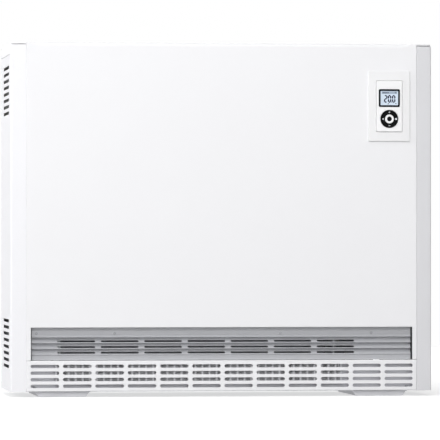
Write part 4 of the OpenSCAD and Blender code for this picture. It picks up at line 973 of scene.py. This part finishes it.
net_low, net_high = corners("lint_filter")
NET_FRONT, NET_RIM, NET_R, NET_HOLE_R, NET_EDGE = net_low[1] + 3.4, 3.0, 1.5, 0.8, 0.4
BAR_PITCH, BAR, BAR_R, SUNK, THREAD, MESH = 13.0, 4.0, 0.6, 0.3, 0.5, 1.6
CLIP_LENGTH, CLIP_HALF = 2.3, 0.7
frame_low, frame_high = net_low[[0, 2]], net_high[[0, 2]]
net_frame = framed((frame_low, frame_high), (frame_low + NET_RIM, frame_high - NET_RIM),
                   NET_R, NET_HOLE_R, NET_FRONT, net_high[1], NET_EDGE)
bar_count = int((frame_high[0] - frame_low[0] - 2 * NET_RIM) // BAR_PITCH)
bar_middle = (frame_low[0] + frame_high[0]) / 2
bar_x = bar_middle + evenly(bar_count, BAR_PITCH)
bar_outline = round_polygon([(-BAR / 2, NET_FRONT + 1), (BAR / 2, NET_FRONT + 1),
                             (BAR / 2, net_high[1] - 1), (-BAR / 2, net_high[1] - 1)],
                            BAR_R, 3)
bars = [capped(plate_rings(bar_outline + [x, 0], [(0, frame_low[1] + NET_RIM - SUNK),
                                                  (0, frame_high[1] - NET_RIM + SUNK)]))
        for x in bar_x]

net_y = net_high[1] - 0.8
thread_x = np.arange(frame_low[0] + NET_RIM + MESH, frame_high[0] - NET_RIM, MESH)
thread_z = np.arange(frame_low[1] + NET_RIM + MESH, frame_high[1] - NET_RIM, MESH)
upright = [columns(thread_x, net_y, z) for z in (frame_low[1] + 2, frame_high[1] - 2)]
level = [columns(x, net_y + THREAD, thread_z) for x in (frame_low[0] + 2, frame_high[0] - 2)]
clip_x = np.array([frame_low[0] + 15, bar_middle + 3, frame_high[0] - 15]).repeat(2)
clip_z = np.tile([frame_low[1] + CLIP_HALF, frame_high[1] - CLIP_HALF], 3)
clips = rods(columns(clip_x - CLIP_LENGTH, SHEET + CLIP_HALF, clip_z),
             columns(clip_x + CLIP_LENGTH, NET_FRONT + SUNK, clip_z), CLIP_HALF)
piece("lint_filter_frame", [surface(net_frame, closed=True), *bars, clips], bar_grey,
      body="inlet_grille", instead=["lint_filter"])
piece("lint_filter_net", [rods(*upright, THREAD / 2), rods(*level, THREAD / 2)], net_grey,
      body="inlet_grille", slot="filter_grey")

# %% [markdown]
# ## Control
# A white fascia stands 3 mm out of the panel and carries the control module, whose front is
# one smooth moulding with a window for the display and a round opening for the keys. Soft
# edges matter here: on a white part they are all that the eye has to read the shape by.

# %% Fascia and module
FASCIA_R, FASCIA_EDGE, MODULE_R, MODULE_EDGE, MODULE_WALL = 1.4, 0.9, 1.6, 1.0, 1.6
MODULE_GAP, MODULE_INSET, MODULE_DEPTH, WINDOW_EDGE = 0.5, 1.7, 17, 0.5
module_front = corners("control_module")[0][1]
fascia_box = corners("control_fascia")
fascia = framed([corner[[0, 2]] for corner in fascia_box],
                (module_low - MODULE_GAP, module_high + MODULE_GAP), FASCIA_R,
                MODULE_R + MODULE_GAP, fascia_box[0][1], 0, FASCIA_EDGE)
piece("control_fascia_plate", [surface(fascia, closed=True)], moulded_white,
      instead=["control_fascia"])

display_low, display_high = (corner[[0, 2]] for corner in corners("display_frame"))
ring_low, ring_high = corners("ring_key")
ring_r = (ring_high[0] - ring_low[0]) / 2
key_hole = ring_r + 0.5
split_z = (display_low[1] + key_z + key_hole) / 2
face_low, face_high = module_low + MODULE_INSET, module_high - MODULE_INSET
face_xs = np.linspace(face_low[0], face_high[0], 13)
low_zs, high_zs = np.linspace(face_low[1], split_z, 13), np.linspace(split_z, face_high[1], 9)
module_walk = walk_round(face_xs, lines(low_zs, high_zs))
module_rim = rim(module_walk, module_low, module_high, MODULE_R, MODULE_EDGE, MODULE_DEPTH,
                 MODULE_INSET)


def full_turn(steps):
    """The angles of a circle in equal steps: k * 2 pi / steps."""
    return np.arange(steps) * 2 * math.pi / steps


def rounded_hole(low, high, radius):
    """The outline of a rounded opening; a station's own line is scaled into its straights."""
    def ring_at(outer, walk, t):
        """Own line = low + radius + share * (high - low - 2 * radius), then grown by t."""
        own = walk.copy()
        share = (own[:, 2:4] - outer.min(0)) / np.ptp(outer, axis=0)
        own[:, 2:4] = low + radius + share * (high - low - 2 * radius)
        return place_walk(own, low - t, high + t, radius + t)
    return ring_at


def round_hole(middle, radius):
    """Every outer point is drawn towards the middle until it is radius + t away."""
    def ring_at(outer, walk, t):
        """middle + the direction to the outer point * (radius + t)."""
        ray = outer - middle
        return middle + ray / np.linalg.norm(ray, axis=1, keepdims=True) * (radius + t)
    return ring_at


def window(xs, zs, hole_at, turned):
    """A rectangle of sheet with an opening whose rim is rounded and turns in by `turned` mm."""
    around = walk_round(xs, zs)
    outer = place_walk(around, (xs[0], zs[0]), (xs[-1], zs[-1]), 0)
    rings = [(outer, 0)]
    rings += [(hole_at(outer, around, t), d) for t, d in quarter(WINDOW_EDGE)[::-1]]
    rings += [(hole_at(outer, around, 0), turned)]
    return np.stack([standing(flat, depth) for flat, depth in rings])


display_window = window(face_xs, high_zs,
                        rounded_hole(display_low - 0.15, display_high + 0.15, 2.6), 1.4)
key_window = window(face_xs, low_zs, round_hole((control_x, key_z), key_hole), 3.0)
module_shapes = [surface(s + [0, module_front, 0], closed=True)
                 for s in (module_rim, display_window, key_window)]
piece("control_module_shell", module_shapes, polished_white, instead=["control_module"],
      gauge=MODULE_WALL, facing=(0, -1, 0))

# %% [markdown]
# The display is a dark frame with a pale blue liquid-crystal panel behind it. Its figures are
# built from seven straight segments with pointed ends. A table says which segments each
# figure lights; the outlines of all lit segments are computed together.

# %% Display frame and figures
BEZEL, BEZEL_R, SCREEN_R, BEZEL_DEPTH, BEZEL_EDGE = 3.2, 2.4, 0.8, 1.6, 0.45
frame_front = corners("display_frame")[0][1]
bezel = framed((display_low, display_high), (display_low + BEZEL, display_high - BEZEL), BEZEL_R,
               SCREEN_R, frame_front, frame_front + BEZEL_DEPTH, BEZEL_EDGE)
piece("display_bezel", [surface(bezel, closed=True)], display_black,
      instead=["display_frame"])

SEGMENTS = {"0": "abcdef", "2": "abged"}
DIGIT_W, DIGIT_H, STROKE = 4.2, 11.8, 2.4
middle_of = {"a": (0, 1), "g": (0, 0), "d": (0, -1), "b": (1, 0.5), "c": (1, -0.5),
             "e": (-1, -0.5), "f": (-1, 0.5)}


def segment_outlines(text, middles):
    """Hexagons (n, 6, 2): an upright segment is a level one with x and z exchanged."""
    found = []
    for figure, middle in zip(text, middles):
        for name in SEGMENTS[figure]:
            upright = name in "bcef"
            half, tip = (DIGIT_H / 4 if upright else DIGIT_W / 2) - 0.12, STROKE / 2
            hexagon = np.array([(-half, 0), (-half + tip, tip), (half - tip, tip), (half, 0),
                                (half - tip, -tip), (-half + tip, -tip)])
            hexagon = hexagon[:, ::-1] if upright else hexagon
            place = np.multiply(middle_of[name], (DIGIT_W / 2, DIGIT_H / 2))
            found.append(hexagon + place + middle)
    return found


def printed(outlines, front, thick=0.06):
    """Outlines (x, z) as thin closed plates whose front lies at depth `front`."""
    return [capped(np.stack([standing(outline, y) for y in (front + thick, front)]))
            for outline in outlines]


def disc_outline(x, z, r):
    """A polygon with sixteen corners that stands for a small dot: x + r cos, z + r sin."""
    angle = full_turn(16)
    return columns(x + r * np.cos(angle), z + r * np.sin(angle))


def bars_at(x, z, rows):
    """Small rectangles: each row is (across, up, width, height), counted from (x, z)."""
    box = np.array([(-1, -1), (1, -1), (1, 1), (-1, 1)]) / 2
    return [np.add((x + across, z + up), box * (width, height))
            for across, up, width, height in rows]


screen_front = corners("display_screen")[0][1]
screen_z = (display_low[1] + display_high[1]) / 2
figures_z = screen_z - 1.4
lit = segment_outlines("200", [(control_x + across, figures_z) for across in (-6.8, 0.4, 8.1)])
lit += [disc_outline(control_x + 4.25, figures_z - DIGIT_H / 2, 0.8)]
schedule = bars_at(control_x, screen_z, [(1.7 * i - 11.8, 9.8, 1.1, 1.9) for i in range(7)])
clock = bars_at(control_x, screen_z, [(11.6, 9.4, 2.4, 0.5), (11.6, 11.0, 2.4, 0.5),
                                      (10.7, 10.2, 0.5, 1.2), (12.5, 10.2, 0.5, 1.2)])
marker = [np.add((control_x, screen_z), [(-3.4, -11.2), (-0.4, -11.2), (-1.9, -9.2)]),
          disc_outline(control_x + 12.2, screen_z - 10.0, 1.0)]
header = bars_at(control_x, screen_z, [(0, 9.9, 28.6, 4.4)])
piece("display_header", printed(header, screen_front - 0.02, 0.03), lcd_shade,
      slot="display_dark")
piece("display_figures", printed(lit + schedule + clock + marker, screen_front - 0.05), lcd_ink,
      slot="display_dark")

# %% [markdown]
# ## Ring key and button
# Both are turned shapes: a section of radius and depth goes round the key's axis. The ring's
# face is slightly hollow, so a finger finds it in the dark. It rocks on its gimbal, so the
# printed signs ride with it. The button is white with a black cap let into its middle.

# %% Turn the ring, the button and the cap
def lathe(section, x, z, front, steps=64):
    """Section (radius, depth behind `front`) round an axis along y: x + r cos, z + r sin."""
    r, y = np.hsplit(np.asarray(section, float), 2)
    angle = full_turn(steps)
    return surface(columns(x + r * np.cos(angle), front + y, z + r * np.sin(angle)), closed=True)


def hollow(r0, r1, start, deep, count=7):
    """A shallow hollow between two radii: start + deep * (1 - (2t - 1) ** 2)."""
    t = np.linspace(0, 1, count)
    return list(zip(r0 + (r1 - r0) * t, start + deep * (1 - (2 * t - 1) ** 2)))


RING_BORE, RING_HUB, SIGN_R = 9.0, 2.8, 12.4
ring_back = ring_high[1] - ring_low[1]
ring_section = ([(RING_BORE, ring_back), (RING_BORE, 2), (8.65, 1.9), (8.65, 0.5), (8.75, 0.2),
                 (RING_BORE, 0.05)]
                + hollow(9.3, ring_r - 0.9, 0, 0.35)
                + [(ring_r - t, d) for t, d in quarter(0.8)[::-1]]
                + [(ring_r, 1.9), (ring_r - RING_HUB, 2.0), (ring_r - RING_HUB, ring_back),
                   (RING_BORE, ring_back)])
piece("ring_key_disc", [lathe(ring_section, control_x, key_z, ring_low[1])], key_black,
      body="ring_key", instead=["ring_key"])

plus_minus = bars_at(control_x, key_z, [
    (0, SIGN_R, 3.2, 0.8), (0, SIGN_R + 1.0, 0.8, 1.2), (0, SIGN_R - 1.0, 0.8, 1.2),
    (0, -SIGN_R, 3.2, 0.8)])
arrow = np.add((control_x - SIGN_R, key_z), [(1.7, -1.8), (1.7, 1.8), (-1.5, 0)])
dot = disc_outline(control_x + SIGN_R, key_z, 1.9)
piece("ring_key_signs", printed([*plus_minus, arrow, dot], ring_low[1] + 0.16, 0.22), print_grey,
      body="ring_key", slot="module_white")

button_low, button_high = corners("centre_button")
button_r = (button_high[0] - button_low[0]) / 2
cap_low, cap_high = corners("button_cap")
cap_r = (cap_high[0] - cap_low[0]) / 2
button_section = ([(0, 5.4), (3, 5.4), (3, 1.9), (button_r, 1.9), (button_r, 0.9)]
                  + [(button_r - t, 0.1 + d) for t, d in quarter(0.8)]
                  + hollow(button_r - 1.0, cap_r + 0.5, 0.08, 0.12)
                  + [(cap_r + 0.15, 0.25), (cap_r + 0.05, 0.8), (0, 0.8)])
piece("centre_button_body", [lathe(button_section, control_x, key_z, button_low[1])],
      polished_white, body="centre_button", instead=["centre_button"])
cap_section = ([(0, 0.8), (cap_r, 0.8), (cap_r, 0.5)]
               + [(cap_r - t, 0.1 + d) for t, d in quarter(0.4)]
               + hollow(cap_r - 0.6, 0, 0.1, 0.2, 5)[:3] + [(0, 0.3)])
piece("button_cap_disc", [lathe(cap_section, control_x, key_z, button_low[1], 48)],
      key_black, body="centre_button", instead=["button_cap"])

# %% [markdown]
# ## Screws
# Four flat screws hold the outlet grille, and pan heads hold the back. A head is a disc whose
# height is a function of radius and angle: a low dome, minus a cross-shaped recess. The cross
# is where the smaller of |u| and |v| is inside the blade's width and the larger one is inside
# its length, with soft flanks so that the recess has walls.

# %% A screw head with a cross recess
def soft_step(x):
    """0 below 0, 1 above 1, and 3x^2 - 2x^3 between."""
    x = np.clip(x, 0, 1)
    return x * x * (3 - 2 * x)


BLADE_WIDTH, BLADE_LENGTH, RECESS_DEEP = 0.17, 0.62, 0.6
WIDTH_FLANK, LENGTH_FLANK = 0.1, 0.15


def screw_head(x, z, seat, head_r, height, facing, turned):
    """Rings from the seat over the rounded edge to the middle: dome minus recess. The blade's
    sizes and flanks are shares of the head's radius, the recess a share of its height."""
    angle = full_turn(48)
    radii = np.concatenate([[1, 1, 0.97, 0.9], np.linspace(0.8, 0.02, 12)]) * head_r
    rise = np.concatenate([[0, 0.45, 0.7, 0.85], np.linspace(0.9, 1, 12)]) * height
    u = radii[:, None] * np.cos(angle + math.radians(turned))
    v = radii[:, None] * np.sin(angle + math.radians(turned))
    small, large = np.minimum(abs(u), abs(v)), np.maximum(abs(u), abs(v))
    recess = (soft_step((BLADE_WIDTH * head_r - small) / (WIDTH_FLANK * head_r))
              * soft_step((BLADE_LENGTH * head_r - large) / (LENGTH_FLANK * head_r)))
    depth = rise[:, None] - RECESS_DEEP * height * recess
    return capped(columns(x + radii[:, None] * np.cos(angle), seat + facing * depth,
                          z + radii[:, None] * np.sin(angle)))


screw_z = centre("grille_screws")[2]
SCREW_ALONG = np.array([10.75, 154.75, 461.75, 630.75])
piece("grille_screw_heads",
      [screw_head(x, screw_z, grille_low[1] + 2.5, 2.6, 1.2, -1, 25 * i)
       for i, x in enumerate(SCREW_ALONG - window_half)], matt_steel,
      instead=["grille_screws"])

# %% [markdown]
# ## Foot rails
# The heater is heavy, so it stands on two channels that run from front to back. Their section
# is a trapezoid with rounded bends, closed at both ends, and strips at the top are riveted to
# the base tray.

# %% Two foot rails
FOOT_FLOOR, STRIP, STRIP_OUT, STRIP_IN, STRIP_HALF = 44.0, 2.0, 2.5, 7, 0.45
for node in ("foot_rail_left", "foot_rail_right"):
    low, high = corners(node)
    x, half = centre(node)[0], (high[0] - low[0]) / 2 - 3
    outline = round_polygon([(x - half, high[2]), (x - half, high[2] - STRIP),
                             (x - FOOT_FLOOR, 0), (x + FOOT_FLOOR, 0),
                             (x + half, high[2] - STRIP), (x + half, high[2])],
                            [0.3, 2.0, 3.5, 3.5, 2.0, 0.3], 5)
    ends = ([(t, low[1] + d) for t, d in quarter(1.5)[::-1]]
            + [(t, high[1] - d) for t, d in quarter(1.5)])
    body = plate_rings(outline, [(0.3 * t, y) for t, y in ends])[..., [0, 2, 1]]
    strips = rods([(x + hand * (half - STRIP_IN), low[1] + 1, high[2] - 1) for hand in (-1, 1)],
                  [(x + hand * (half + STRIP_OUT), high[1] - 1, high[2] - 0.5)
                   for hand in (-1, 1)], STRIP_HALF)
    piece(node + "_channel", [capped(body), strips], foot_lacquer, instead=[node], edge=0.2)

# %% [markdown]
# ## Back
# The back is galvanised sheet with five long beads that stiffen it. A bead is a slot cell
# whose middle is not punched out: its rings only sink, along a smooth curve. The cable gland
# sits in a round hole near the right side, and a Z-shaped bracket hangs the heater from the
# wall so that it can't tip.

# %% Rear panel with beads
rear_low, rear_high = corners("rear_panel")
BEAD, BEAD_CELL, BEAD_DEEP = (600.0, 16.0), (620.0, 24.0), 1.8
GLAND_HALF, GLAND_HOLE, REAR_GAUGE = 20.0, 11.2, 1.0
bead_z = 330.0 + evenly(5, 80.0)
gland_x, _, gland_z = centre("cable_gland")
gland_xs, gland_zs = gland_x + evenly(3, GLAND_HALF), gland_z + evenly(3, GLAND_HALF)
bead_lip = [(-BEAD[1] / 2 * (1 - t) + HAIR, BEAD_DEEP * (1 - soft_step(t)))
            for t in np.linspace(0, 1, 7)]
rear_shapes = punched(lines([rear_low[0], rear_high[0]], gland_xs),
                      lines([rear_low[2], rear_high[2]], gland_zs), 0.0, bead_z, BEAD_CELL, BEAD,
                      lip=bead_lip, gone=[(*gland_xs[[0, 2]], *gland_zs[[0, 2]])])
gland_plate = window(gland_xs, gland_zs, round_hole((gland_x, gland_z), GLAND_HOLE), 0.6)
rear_shapes = [*map(to_front, rear_shapes), surface(gland_plate, closed=True)]
outside = [(points * [1, -1, 1] + [0, rear_high[1], 0], faces) for points, faces in rear_shapes]
piece("rear_panel_sheet", outside, zinc_sheet, instead=["rear_panel"], gauge=REAR_GAUGE,
      facing=(0, 1, 0))

# %% Wall bracket, gland, spacers and screws
bracket_low, bracket_high = corners("wall_bracket")
BRACKET_T, WEB_Z, HOLE_X, HOLE_UP, HOLE_R, HOLE_CELL = 2.0, 561.4, 250.0, 26.0, 4.5, 24.0
bracket_y = bracket_low[1] + BRACKET_T
bracket_line = bend([(bracket_y, bracket_low[2]), (bracket_y, WEB_Z), (bracket_high[1], WEB_Z),
                     (bracket_high[1], bracket_high[2])], [1.5, 3.0], 5)
bracket_s = measure(bracket_line)
hole_s = bracket_s[-1] - (bracket_high[2] - WEB_Z - HOLE_UP)
rail = rolled(bracket_line, punched(
    [bracket_low[0], bracket_high[0]], bracket_s, [-HOLE_X, HOLE_X], hole_s,
    (HOLE_CELL, HOLE_CELL), (2 * HOLE_R + 4, 2 * HOLE_R)))
piece("wall_bracket_rail", [rail], zinc_sheet, instead=["wall_bracket"], gauge=BRACKET_T,
      edge=0.3, facing=(0, 1, 0))

panel_y = rear_high[1]
gland_low, gland_high = (corner[1] - panel_y for corner in corners("cable_gland"))
BORE, BODY, FLANGE = 7.5, 11.0, 14.0
gland_section = [(BORE, gland_low), (BORE, gland_high - 0.6), (BORE + 0.6, gland_high),
                 (BODY - 0.8, gland_high), (BODY, gland_high - 0.9), (BODY, 3.4),
                 (FLANGE - 0.9, 3), (FLANGE, 2.2), (FLANGE, 0), (BODY, 0), (BODY, -1.2),
                 (FLANGE, -1.2), (FLANGE - 0.3, -4.6), (BODY, -5.2), (BODY - 1.2, gland_low),
                 (BORE, gland_low)]
piece("cable_gland_grommet", [lathe(gland_section, gland_x, gland_z, panel_y, 48)], rubber,
      instead=["cable_gland"], edge=0.25)

reach = corners("back_fittings")[1][1] - panel_y
SPACER_X, SPACER_Z, SPACER_R = 260.0, 110.0, 12.0
spacer_section = [(0, 0), (SPACER_R, 0), (SPACER_R, 3), (SPACER_R - 2.5, 5.5),
                  (SPACER_R - 3.2, reach - 6), (SPACER_R - 1, reach - 4),
                  (SPACER_R - 1, reach - 1), (SPACER_R - 2, reach), (0, reach)]
piece("wall_spacers", [lathe(spacer_section, x, SPACER_Z, panel_y, 48)
                       for x in (-SPACER_X, SPACER_X)], dark_moulding_and_painted_shade,
      instead=["back_fittings"], edge=0.3)
EDGE_SCREW_X, EDGE_SCREW_Z = 382.5, (60, 240, 420, 600)
back_screws = [screw_head(hand * EDGE_SCREW_X, z, panel_y + reach - 25.0, 3.6, 2.2, 1, z)
               for hand in (-1, 1) for z in EDGE_SCREW_Z]
back_screws += [screw_head(x, WEB_Z - 14, bracket_y, 4.0, 2.4, 1, x)
                for x in (-220, 0, 220)]
piece("back_screw_heads", back_screws, bright_zinc, slot="screw_zinc")
